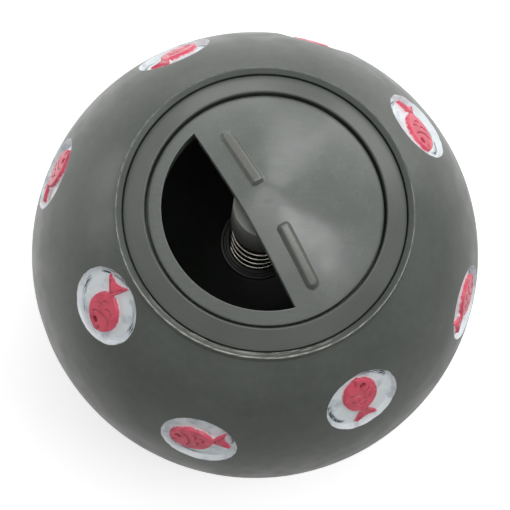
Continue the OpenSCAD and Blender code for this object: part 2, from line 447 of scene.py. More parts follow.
def faces_of(triangles: np.ndarray) -> list[tuple[int, ...]]:
    """Returns the rows of an array of triangles as faces."""
    return [tuple(row) for row in triangles.tolist()]


@dataclass
class Sheet:
    """A plate between two height functions, cut out by outlines.

    Attributes:
        points: Its points in the plane.
        walls: Its outlines, the outer one and any holes.
        inside: Says which places belong to the plate.
        top: Height of the upper face at each place.
        bottom: Height of the lower face at each place.
    """

    points: np.ndarray
    walls: Sequence[np.ndarray]
    inside: Callable[[np.ndarray], np.ndarray]
    top: Callable[[np.ndarray], np.ndarray]
    bottom: Callable[[np.ndarray], np.ndarray]

    def skin(self) -> Skin:
        """Returns the closed skin of the plate."""
        places, triangles = triangulated(self.points, self.walls)
        triangles = triangles[self.inside(places[triangles].mean(axis=1))]
        used = np.unique(triangles)
        number = np.full(len(places), -1)
        number[used] = np.arange(len(used))
        places, triangles = places[used], number[triangles]
        count = len(places)
        sides = {(int(t[k]), int(t[(k + 1) % 3])) for t in triangles for k in range(3)}
        rim = [side for side in sides if side[::-1] not in sides]
        upper = np.column_stack([places, self.top(places)])
        lower = np.column_stack([places, self.bottom(places)])
        faces = faces_of(triangles) + faces_of(triangles[:, ::-1] + count)
        faces += [(b, a, a + count, b + count) for a, b in rim]
        return Skin(np.concatenate([upper, lower]), faces)


def linked(obj: bpy.types.Object) -> bpy.types.Object:
    """Puts an object in the scene."""
    bpy.context.scene.collection.objects.link(obj)
    return obj


def bare_mesh(name: str, skin: Skin, rise: float = 0.0) -> bpy.types.Mesh:
    """Makes a mesh in metres from a skin, with the numbers that its points carry.

    Args:
        name: Name of the mesh.
        skin: The skin.
        rise: How far it is lifted, in millimetres.

    Returns:
        The mesh, not yet merged.
    """
    mesh = bpy.data.meshes.new(name)
    mesh.from_pydata((skin.points + (0, 0, rise)) * MM, [], skin.faces)
    for key, numbers in skin.values.items():
        mesh.attributes.new(key, "FLOAT", "POINT").data.foreach_set("value", numbers.astype(np.float32))
    return mesh


@dataclass
class Bench:
    """Finishes skins as pieces that ride on the bodies of the frame.

    Attributes:
        middle_z: Height of the ball's middle above the floor.
        crease: Angle from which an edge between faces shows as sharp, in degrees.
    """

    middle_z: float
    crease: float = 40.0

    def mesh(self, name: str, skin: Skin) -> bpy.types.Mesh:
        """Makes a closed mesh in metres, with its faces outwards.

        Args:
            name: Name of the mesh.
            skin: The skin to make it from.

        Returns:
            The mesh.
        """
        mesh = bare_mesh(name, skin, self.middle_z)
        shape = bmesh.new()
        shape.from_mesh(mesh)
        bmesh.ops.remove_doubles(shape, verts=shape.verts, dist=MERGE * MM)
        bmesh.ops.dissolve_degenerate(shape, edges=shape.edges, dist=MERGE * MM / 4)
        bmesh.ops.recalc_face_normals(shape, faces=shape.faces)
        open_edges = sum(not edge.is_manifold for edge in shape.edges)
        for face in shape.faces:
            face.smooth = True
        shape.to_mesh(mesh)
        shape.free()
        mesh.set_sharp_from_angle(angle=math.radians(self.crease))
        if open_edges:
            LOG.warning("%s has %d open edges", name, open_edges)
        return mesh

    def piece(
        self, name: str, skin: Skin, material: bpy.types.Material, body: Body, slot: Slot, node: str
    ) -> bpy.types.Object:
        """Makes a piece from a skin and puts it on its body in place of a CAD node."""
        return self.placed(bpy.data.objects.new(name, self.mesh(name, skin)), material, body, slot, node)

    def placed(
        self, obj: bpy.types.Object, material: bpy.types.Material, body: Body, slot: Slot, node: str
    ) -> bpy.types.Object:
        """Dresses an object, puts it on its body in place of a CAD node, and reports it.

        Args:
            obj: The object.
            material: Its finish.
            body: The body that it rides on.
            slot: The record's material slot, which is not used.
            node: The CAD node that it stands for.

        Returns:
            The same object.
        """
        linked(obj)
        obj.data.materials.clear()
        obj.data.materials.append(material)
        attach(obj, body.value)
        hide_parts(node)
        low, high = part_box(node)
        mine = np.array([corner for corner in obj.bound_box])
        off = max(np.abs(mine.min(axis=0) - low).max(), np.abs(mine.max(axis=0) - high).max()) / MM
        triangles = sum(len(face.vertices) - 2 for face in obj.data.polygons)
        LOG.info("%s: %d triangles, box within %.2f mm of %s", obj.name, triangles, off, node)
        return obj


Number = float | bpy.types.NodeSocket


def srgb(red: int, green: int, blue: int) -> tuple[float, float, float, float]:
    """Turns a colour read on a screen, 0 to 255, into the linear colour that nodes take."""
    shares = (channel / 255 for channel in (red, green, blue))
    linear = (s / 12.92 if s <= 0.04045 else ((s + 0.055) / 1.055) ** 2.4 for s in shares)
    return (*linear, 1.0)


class NodeBuilder:
    """Adds nodes to a tree, step by step.

    Attributes:
        tree: The tree.
    """

    tree: bpy.types.NodeTree

    def add(self, kind: str, inputs: dict | None = None, **settings: object) -> bpy.types.Node:
        """Adds a node.

        Args:
            kind: The node's type.
            inputs: Values or sockets for its inputs, by name or number.
            **settings: The node's own properties.

        Returns:
            The node.
        """
        node = self.tree.nodes.new(kind)
        for key, value in settings.items():
            setattr(node, key, value)
        for key, value in (inputs or {}).items():
            if isinstance(value, bpy.types.NodeSocket):
                self.tree.links.new(value, node.inputs[key])
            else:
                node.inputs[key].default_value = value
        return node

    def math(self, operation: str, *values: Number) -> bpy.types.NodeSocket:
        """Returns the result of a Math node."""
        return self.add("ShaderNodeMath", dict(enumerate(values)), operation=operation).outputs[0]

    def product(self, first: Number, *others: Number) -> bpy.types.NodeSocket:
        """Returns the product of some values."""
        for value in others:
            first = self.math("MULTIPLY", first, value)
        return first


class Shader(NodeBuilder):
    """Builds a node material on Object coordinates."""

    def __init__(self, name: str, tree: bpy.types.NodeTree | None = None) -> None:
        """Starts a material, or the nodes of the world.

        Args:
            name: Name of the material.
            tree: The world's node tree, if it is the world's.
        """
        if tree is None:
            self.material = bpy.data.materials.new(name)
            self.material.use_nodes = True
        self.tree = tree or self.material.node_tree
        self.tree.nodes.clear()
        self.place = self.add("ShaderNodeTexCoord").outputs["Object"]

    def fade(
        self, value: Number, low: float, high: float, start: float = 0.0, end: float = 1.0
    ) -> bpy.types.NodeSocket:
        """Returns a smooth change from start to end as the value goes from low to high."""
        inputs = {"Value": value, "From Min": low, "From Max": high, "To Min": start, "To Max": end}
        return self.add("ShaderNodeMapRange", inputs, interpolation_type="SMOOTHSTEP").outputs[0]

    def within(self, value: Number, low: float, high: float) -> bpy.types.NodeSocket:
        """Returns 1 where the value is under low, and less and less towards high, where it is 0."""
        return self.fade(value, low, high, 1.0, 0.0)

    def noise(
        self,
        size: float,
        detail: float = 2.0,
        stretch: tuple[float, float, float] = (1, 1, 1),
        turn: float = 0.0,
    ) -> bpy.types.NodeSocket:
        """Returns noise from 0 to 1.

        Args:
            size: Size of its blotches in millimetres.
            detail: How fine it gets.
            stretch: How much longer the blotches are along each axis.
            turn: Angle about the axis by which the stretch is turned, in degrees.

        Returns:
            The noise.
        """
        inputs = {"Vector": self.place, "Scale": stretch, "Rotation": (0, 0, math.radians(turn))}
        way = self.add("ShaderNodeMapping", inputs, vector_type="TEXTURE").outputs[0]
        inputs = {"Vector": way, "Scale": 1 / (size * MM), "Detail": detail}
        return self.add("ShaderNodeTexNoise", inputs).outputs[0]

    def wander(self, size: float, detail: float, reach: float) -> bpy.types.NodeSocket:
        """Returns noise of this size that goes to both sides of 0 by this reach, in millimetres."""
        return self.math("MULTIPLY_ADD", self.noise(size, detail), 2 * reach, -reach)

    def streaks(self, across: Number, length: float, width: float, detail: float) -> bpy.types.NodeSocket:
        """Returns noise drawn out along the lines on which a value stays the same.

        Args:
            across: The value, in millimetres.
            length: Length of the streaks in millimetres.
            width: Their width.
            detail: How fine the noise gets.

        Returns:
            The noise.
        """
        step = self.math("DIVIDE", across, width)
        off = self.add("ShaderNodeCombineXYZ", {"X": step, "Y": step, "Z": step}).outputs[0]
        inputs = {0: self.place, 1: (1 / (length * MM),) * 3, 2: off}
        way = self.add("ShaderNodeVectorMath", inputs, operation="MULTIPLY_ADD").outputs[0]
        return self.add("ShaderNodeTexNoise", {"Vector": way, "Scale": 1.0, "Detail": detail}).outputs[0]

    def radius(self) -> bpy.types.NodeSocket:
        """Returns the distance from the axis in millimetres."""
        x, y, _ = self.add("ShaderNodeSeparateXYZ", {0: self.place}).outputs
        square = self.math("MULTIPLY_ADD", x, x, self.product(y, y))
        return self.math("DIVIDE", self.math("SQRT", square), MM)

    def carried(self, name: str) -> bpy.types.NodeSocket:
        """Returns a value that the mesh's points carry."""
        return self.add("ShaderNodeAttribute", attribute_name=name).outputs["Fac"]

    def mix(self, share: Number, first: object, second: object) -> bpy.types.NodeSocket:
        """Returns the mix of two colours."""
        node = self.add("ShaderNodeMix", {0: share, 6: first, 7: second}, data_type="RGBA")
        return node.outputs[2]

    def bump(
        self, height: Number, depth: float, under: bpy.types.NodeSocket | None = None
    ) -> bpy.types.NodeSocket:
        """Returns the normal for bumps of this depth in millimetres, over another normal if one is given."""
        inputs = {"Height": height, "Strength": 1.0, "Distance": depth * MM}
        if under is not None:
            inputs["Normal"] = under
        return self.add("ShaderNodeBump", inputs).outputs[0]

    def finish(self, inputs: dict) -> bpy.types.Material:
        """Ends the material in a Principled shader with these inputs."""
        shader = self.add("ShaderNodeBsdfPrincipled", inputs)
        self.add("ShaderNodeOutputMaterial", {"Surface": shader.outputs[0]})
        return self.material


@dataclass(frozen=True)
class MouldedPlastic:
    """Satin moulded plastic with a fine grain, faint flow marks and sinks.

    Attributes:
        name: Name of the material.
        colour: Its colour on a screen.
        roughness: Mean roughness.
        gloss_level: Level of its mirrored light, where 0.5 is usual for plastic.
        grain: Size of the grain.
        grain_depth: Depth of the grain.
        sink: Size of the sinks.
        sink_depth: Depth of the sinks.
        flow: Share by which flow marks lighten or darken it.
        flow_size: Size of the finer flow marks.
        flow_stretch: How much longer than wide they are.
        flow_turn: Angle about the axis in which they run, in degrees.
    """

    name: str
    colour: tuple[int, int, int]
    roughness: float = 0.42
    gloss_level: float = 0.5
    grain: float = 0.22
    grain_depth: float = 0.004
    sink: float = 9.0
    sink_depth: float = 0.05
    flow: float = 0.14
    flow_size: float = 1.4
    flow_stretch: float = 1.0
    flow_turn: float = 60.0

    def flow_marks(self, shader: Shader) -> bpy.types.NodeSocket:
        """Returns the finer flow marks, from 0 to 1."""
        return shader.noise(self.flow_size, 3, (self.flow_stretch, 1, 1), self.flow_turn)

    def body_colour(self, shader: Shader) -> bpy.types.NodeSocket:
        """Returns the plastic's colour with its flow marks."""
        light = srgb(*(min(255, round(channel * (1 + self.flow / 2))) for channel in self.colour))
        dark = srgb(*(round(channel * (1 - self.flow / 2)) for channel in self.colour))
        clouds = shader.product(shader.noise(11), 0.65)
        marks = shader.math("MULTIPLY_ADD", self.flow_marks(shader), 0.35, clouds)
        return shader.mix(shader.fade(marks, 0.3, 0.7), dark, light)

    def surface(self, shader: Shader) -> bpy.types.NodeSocket:
        """Returns the normal with the sinks and the grain."""
        sinks = shader.bump(shader.noise(self.sink, 1), self.sink_depth)
        return shader.bump(shader.noise(self.grain, 3), self.grain_depth, sinks)

    def gloss(self, shader: Shader) -> bpy.types.NodeSocket:
        """Returns the roughness, uneven as on a handled moulding."""
        return shader.fade(shader.noise(4.0, 3), 0.3, 0.7, self.roughness - 0.05, self.roughness + 0.05)

    def material(self) -> bpy.types.Material:
        """Returns the finished material."""
        shader = Shader(self.name)
        return shader.finish({
            "Base Color": self.body_colour(shader),
            "Roughness": self.gloss(shader),
            "Normal": self.surface(shader),
            "Specular IOR Level": self.gloss_level,
        })


@dataclass(frozen=True)
class RingPlastic(MouldedPlastic):
    """Moulded plastic of a ring, whose flow marks and gloss run around the axis.

    Attributes:
        streak_l: Length of the marks.
        streak_w: Width of the marks.
        gloss_spread: Difference in roughness across the marks.
    """

    streak_l: float = 6.0
    streak_w: float = 0.25
    gloss_spread: float = 0.1

    def flow_marks(self, shader: Shader) -> bpy.types.NodeSocket:
        """Returns marks that run around the axis, from 0 to 1."""
        return shader.streaks(shader.radius(), self.streak_l, self.streak_w, 3)

    def gloss(self, shader: Shader) -> bpy.types.NodeSocket:
        """Returns the roughness, which changes from mark to mark."""
        half = self.gloss_spread / 2
        return shader.fade(self.flow_marks(shader), 0.35, 0.65, self.roughness - half, self.roughness + half)


@dataclass(frozen=True)
class RubbedLitPlastic(MouldedPlastic):
    """Moulded plastic whose rib tops are paler and warmer: wear where fingers rub them, and painted light on
    the tops.

    Attributes:
        rubbed_and_lit: Colour on the rib tops, worn and with painted light.
    """

    # rib tops: wear with painted light
    rubbed_and_lit: tuple[int, int, int] = (105, 105, 99)

    def body_colour(self, shader: Shader) -> bpy.types.NodeSocket:
        """Returns the plastic's colour, with wear and painted light on the rib tops."""
        wear_and_light = shader.fade(shader.noise(1.6, 3), 0.3, 0.6, 0.55, 1.0)
        share = shader.product(shader.carried("rib"), wear_and_light)
        return shader.mix(share, super().body_colour(shader), srgb(*self.rubbed_and_lit))


@dataclass(frozen=True)
class ThinPaintAndShade:
    """Streaks where the brush left little pearl paint, darkened as painted shade along a medallion's pocket
    wall.

    Attributes:
        colour: What shows there, darker than the pearl: thin paint with painted shade.
        low: Gap to the pocket's rim at which they start, negative inside the pocket.
        high: Gap at which they end.
        least: Noise above which they show.
        share: How much of the colour shows.
    """

    colour: tuple[int, int, int]
    low: float
    high: float
    least: float
    share: float


@dataclass(frozen=True)
class PaintedPlastic(MouldedPlastic):
    """The ball's plastic, with medallions painted pearl white under a red fish, and a lip with pale lines.

    Attributes:
        pearl: The pearl paint.
        pearl_shade: The same where the brush left it bluish, also the painted shade along the pocket wall.
        thin: Where the pearl is thin along the pocket wall, with painted shade: first bluish, then bare
            plastic darkened in the crevice.
        red: The fish's red.
        red_shade: The same where it is thicker.
        cut: Colour in the fish's cuts.
        blush: The pale edge between the red and the pearl.
        lip_line: The pale colour of the thin lines on the lip's edges.
        crest_r: Radius of the lip's crest.
        edge_r: Radius of the pale line at the lip's inner edge.
        lip_z: Height above the floor over which the lip lies.
        lip_line_way: Direction around the axis where the pale lines are widest, in degrees.
    """

    pearl: tuple[int, int, int] = (238, 246, 249)
    pearl_shade: tuple[int, int, int] = (158, 174, 184)
    thin: tuple[ThinPaintAndShade, ...] = (
        ThinPaintAndShade(pearl_shade, -1.15, -0.2, 0.49, 0.8),
        # painted shade in the crevice at the foot of the pocket wall, darker than the bare plastic
        ThinPaintAndShade((56, 64, 72), -0.95, -0.3, 0.53, 0.95),
    )
    red: tuple[int, int, int] = (234, 86, 111)
    red_shade: tuple[int, int, int] = (214, 72, 97)
    cut: tuple[int, int, int] = (122, 48, 62)
    blush: tuple[int, int, int] = (236, 224, 228)
    # pale lines along the lip's crest and inner edge, widest towards one side
    lip_line: tuple[int, int, int] = (196, 197, 188)
    crest_r: float = 22.85
    edge_r: float = 22.1
    lip_z: float = 66.6
    lip_line_way: float = 318.0

    def painted(
        self, shader: Shader, plastic: bpy.types.NodeSocket
    ) -> tuple[bpy.types.NodeSocket, bpy.types.NodeSocket]:
        """Paints the medallions.

        Args:
            shader: The material in the making.
            plastic: The bare plastic's colour.

        Returns:
            The painted colour, and the share of the surface that is painted.
        """
        pocket, fish, groove = (shader.carried(name) for name in ("pocket_gap", "fish_gap", "groove"))
        edge = shader.math("ADD", pocket, shader.wander(1.8, 2, 0.18))
        pearl_share = shader.within(edge, 0.1, 0.26)
        strokes = shader.fade(shader.noise(2.6, 3), 0.5, 0.7, 0.0, 0.5)
        pearl = shader.mix(strokes, srgb(*self.pearl), srgb(*self.pearl_shade))
        where = shader.noise(5.5, 1)
        dry = shader.fade(shader.streaks(pocket, 1.4, 0.3, 3), 0.4, 0.5)
        # thin pearl and painted shade along the foot of the pocket wall
        for thin in self.thin:
            missed_and_shaded = shader.product(
                shader.fade(edge, thin.low, thin.low + 0.15),
                shader.within(edge, thin.high - 0.12, thin.high),
                dry,
                shader.fade(where, thin.least, thin.least + 0.04, 0.0, thin.share),
            )
            pearl = shader.mix(missed_and_shaded, pearl, srgb(*thin.colour))
        colour = shader.mix(pearl_share, plastic, pearl)
        edge = shader.math("ADD", fish, shader.wander(0.6, 2, 0.08))
        colour = shader.mix(shader.within(edge, 0.1, 0.2), colour, srgb(*self.blush))
        thick = shader.fade(shader.noise(1.8, 3), 0.38, 0.66)
        red = shader.mix(thick, srgb(*self.red), srgb(*self.red_shade))
        red = shader.mix(shader.product(groove, 0.7), red, srgb(*self.cut))
        return shader.mix(shader.within(edge, 0.0, 0.08), colour, red), pearl_share

    def lip_lines(self, shader: Shader) -> bpy.types.NodeSocket:
        """Returns the share of the surface that lies under pale lines: thin uneven lines on the two edges of
        the lip.
        """
        x, y, z = shader.add("ShaderNodeSeparateXYZ", {0: shader.place}).outputs
        turn, crest_r = math.radians(self.lip_line_way), self.crest_r
        aside = shader.product(y, math.sin(turn))
        ahead = shader.math("DIVIDE", shader.math("MULTIPLY_ADD", x, math.cos(turn), aside), MM)
        radius = shader.math("ADD", shader.radius(), shader.wander(1.6, 3, 0.05))
        width = shader.fade(ahead, 0.2 * crest_r, crest_r, 0.07, 0.15)
        off_crest = shader.math("ABSOLUTE", shader.math("SUBTRACT", radius, crest_r))
        outer = shader.product(
            shader.within(shader.math("DIVIDE", off_crest, width), 0.5, 1.0),
            shader.fade(shader.streaks(radius, 1.2, 0.3, 3), 0.4, 0.56, 0.15, 1.0),
            shader.fade(ahead, -crest_r, crest_r, 0.3, 1.0),
        )
        off_edge = shader.math("ABSOLUTE", shader.math("SUBTRACT", radius, self.edge_r))
        inner = shader.product(
            shader.within(off_edge, 0.2, 0.34),
            shader.fade(shader.streaks(radius, 1.6, 0.12, 2), 0.52, 0.57),
            shader.fade(ahead, 0.6 * crest_r, 0.95 * crest_r),
        )
        on_lip = shader.math("GREATER_THAN", z, self.lip_z * MM)
        return shader.product(shader.math("MAXIMUM", outer, inner), on_lip)

    def material(self) -> bpy.types.Material:
        """Returns the finished material."""
        shader = Shader(self.name)
        colour, paint = self.painted(shader, self.body_colour(shader))
        lip_line = self.lip_lines(shader)
        return shader.finish({
            "Base Color": shader.mix(shader.product(lip_line, 0.85), colour, srgb(*self.lip_line)),
            "Roughness": shader.math("MULTIPLY_ADD", paint, -0.08, self.gloss(shader)),
            "Normal": shader.bump(lip_line, 0.02, self.surface(shader)),
            "Specular IOR Level": self.gloss_level,
        })


@dataclass(frozen=True)
class DrawnSteel:
    """Bare steel with fine lines and stains.

    Attributes:
        name: Name of the material.
        colour: Its colour on a screen.
        roughness: Mean roughness.
    """

    name: str
    colour: tuple[int, int, int]
    roughness: float = 0.2

    def material(self) -> bpy.types.Material:
        """Returns the finished material."""
        shader = Shader(self.name)
        dull = srgb(*(round(0.82 * channel) for channel in self.colour))
        stains = shader.fade(shader.noise(1.2, 3), 0.4, 0.7)
        lines = shader.noise(0.03, 2, (6, 6, 1))
        return shader.finish({
            "Base Color": shader.mix(stains, srgb(*self.colour), dull),
            "Metallic": 1.0,
            "Roughness": shader.fade(stains, 0.0, 1.0, self.roughness, self.roughness + 0.12),
            "Normal": shader.bump(lines, 0.002),
        })


class GeometryTree(NodeBuilder):
    """Builds a Geometry Nodes tree with named inputs, and runs it once."""

    def __init__(self, name: str, inputs: dict[str, str]) -> None:
        """Starts a tree.

        Args:
            name: Its name.
            inputs: The type of each input's socket, by the input's name.
        """
        self.tree = bpy.data.node_groups.new(name, "GeometryNodeTree")
        self.tree.interface.new_socket("Geometry", in_out="INPUT", socket_type="NodeSocketGeometry")
        self.tree.interface.new_socket("Geometry", in_out="OUTPUT", socket_type="NodeSocketGeometry")
        self.keys = {
            key: self.tree.interface.new_socket(key, in_out="INPUT", socket_type=kind).identifier
            for key, kind in inputs.items()
        }
        self.given = self.add("NodeGroupInput").outputs

    def end(self, geometry: bpy.types.NodeSocket, material: bpy.types.Material) -> None:
        """Ends the tree: the geometry is made real and takes the material."""
        real = self.add("GeometryNodeRealizeInstances", {"Geometry": geometry})
        dressed = self.add("GeometryNodeSetMaterial", {"Geometry": real.outputs[0], "Material": material})
        self.add("NodeGroupOutput", {"Geometry": dressed.outputs[0]})

    def run(self, start: bpy.types.Object, values: dict[str, object]) -> bpy.types.Mesh:
        """Runs the tree on an object, which is removed.

        Args:
            start: The object that the tree starts from.
            values: The tree's inputs, by name.

        Returns:
            The result as a plain mesh.
        """
        modifier = linked(start).modifiers.new(self.tree.name, "NODES")
        modifier.node_group = self.tree
        for key, value in values.items():
            modifier[self.keys[key]] = value
        graph = bpy.context.evaluated_depsgraph_get()
        mesh = bpy.data.meshes.new_from_object(start.evaluated_get(graph), depsgraph=graph)
        start.modifiers.remove(modifier)
        bpy.data.objects.remove(start)
        return mesh


def skin_of(mesh: bpy.types.Mesh, names: Sequence[str] = ()) -> Skin:
    """Reads a mesh in metres back into a skin in millimetres, with the named values of its points."""
    count = len(mesh.vertices)
    places = np.zeros(3 * count)
    mesh.vertices.foreach_get("co", places)
    values = {}
    for name in names:
        values[name] = np.zeros(count)
        mesh.attributes[name].data.foreach_get("value", values[name])
    return Skin(places.reshape(-1, 3) / MM, [tuple(face.vertices) for face in mesh.polygons], values)


@dataclass
class Medallion:
    """A round pocket in the ball's skin, with a fish that stands up from its floor.

    Attributes:
        pocket_d: Diameter of the pocket.
        pocket_h: Depth of the pocket.
        fish_l: Length of the fish.
        fish_w: Width across its body.
        fish_h: Height of the fish above the floor.
        eye_d: Diameter of the eye.
        cut_w: Width of the cuts that draw its gill, scales and fins.
        cut_h: Depth of the cuts.
        collar: Width of the plain skin around the pocket that belongs to the medallion.
        columns: Number of points around its rim.
        spacing: Distance between points on the floor.
        wall: Cross section of the pocket's wall.
        side: Cross section of the fish's side.
        pit: Cross section of the eye's side.
    """

    pocket_d: float = 12.0
    pocket_h: float = 0.9
    fish_l: float = 10.0
    fish_w: float = 5.8
    fish_h: float = 0.7
    eye_d: float = 1.0
    cut_w: float = 0.26
    cut_h: float = 0.2
    collar: float = 0.35
    columns: int = 84
    spacing: float = 0.5
    wall: Shoulder = Shoulder(0.9, 0.22, 0.2, 0.1)
    side: Shoulder = Shoulder(0.7, 0.12, 0.14, 0.08)
    pit: Shoulder = Shoulder(0.4, 0.1, 0.1, 0.05, 2)

    @property
    def rim_r(self) -> float:
        """Radius of the rim where the medallion meets the open skin."""
        return self.pocket_d / 2 + self.collar

    def outline(self) -> Loop:
        """Returns the outline of the fish, with its nose on the left."""
        body_l, waist, tail_w, neck = 0.74 * self.fish_l, 0.68 * self.fish_l, 0.42 * self.fish_l, 0.5
        body_r = (body_l**2 + self.fish_w**2) / (4 * self.fish_w)
        x = np.linspace(0, self.fish_l, 34)[1:]
        body = np.sqrt(np.clip(body_r**2 - (x - body_l / 2) ** 2, 0, None)) - body_r + self.fish_w / 2
        tail = (x - waist) * tail_w / 2 / (self.fish_l - waist)
        half = (body + tail + np.sqrt((body - tail) ** 2 + neck**2)) / 2
        lower = np.column_stack([x, -half])
        upper = np.column_stack([x, half])[::-1]
        ring = np.concatenate([[(0, 0)], lower, [(0.9 * self.fish_l, 0)], upper])
        return Loop(even(softened(ring - (self.fish_l / 2, 0), 2), 0.3), 0.3)

    def cuts(self) -> list[np.ndarray]:
        """Returns the lines of the gill, the mouth, the scales and the fins, drawn on a fish of length 1."""
        lines = [arc((0.08, 0), 0.26, -38, 38, 8), np.array([(0.025, -0.03), (0.1, -0.045)])]
        lines += [arc(middle, 0.06, -52, 52, 4) for middle in ((0.42, 0.09), (0.42, -0.09), (0.52, 0))]
        lines += [np.array([(0.78, side * 0.02), (0.93, side * 0.13)]) for side in (-1, 1)]
        return [(line - (0.5, 0)) * self.fish_l for line in lines]

    def eye(self) -> np.ndarray:
        """Returns the middle of the eye."""
        return np.array([(0.17 - 0.5) * self.fish_l, 0.125 * self.fish_w])

    def skin(self, ball_r: float) -> Skin:
        """Returns the medallion's skin on top of a ball.

        Args:
            ball_r: Radius of the ball, whose middle is the origin.

        Returns:
            The open skin inside the rim.
        """
        fish, cuts, eye, rim = self.outline(), self.cuts(), self.eye(), hoop(self.rim_r, self.columns)
        rows = [rim, *(hoop(self.pocket_d / 2 - gap, self.columns) for gap in self.wall.rows(0.05))]
        rows += [fish.row(gap) for gap in self.side.rows()]
        rows += [circle(self.eye_d / 2 + gap, 0.24, tuple(eye)) for gap in self.pit.rows(0.05)]
        for line in cuts:
            way = np.gradient(line, axis=0)
            out = np.column_stack([way[:, 1], -way[:, 0]]) / np.linalg.norm(way, axis=1)[:, None]
            rows += [line + share * self.cut_w * out for share in (-0.75, -0.3, 0, 0.3, 0.75)]
        fill = lattice(self.rim_r, self.spacing)
        fill = fill[radii(fill) < self.rim_r - self.spacing / 2]
        places, triangles = triangulated(spread(rows, fill, 0.6 * self.spacing, 0.03), [rim])
        radius = radii(places)
        fish_gap, pocket_gap = fish.gap(places), radius - self.pocket_d / 2
        eye_gap = radii(places - eye) - self.eye_d / 2
        cut = np.exp(-((line_gap(places, cuts) / (self.cut_w / 2)) ** 2)) * (fish_gap < 0)
        groove = np.maximum(cut, np.clip(0.5 - eye_gap / 0.2, 0, 1))
        depth = self.pocket_h - self.wall.rise(-pocket_gap) - self.side.rise(fish_gap)
        depth += self.cut_h * cut + self.pit.rise(eye_gap)
        height = np.sqrt((ball_r - depth) ** 2 - radius**2)
        values = {"pocket_gap": pocket_gap, "fish_gap": fish_gap, "groove": groove}
        return Skin(np.column_stack([places, height]), faces_of(triangles), values)


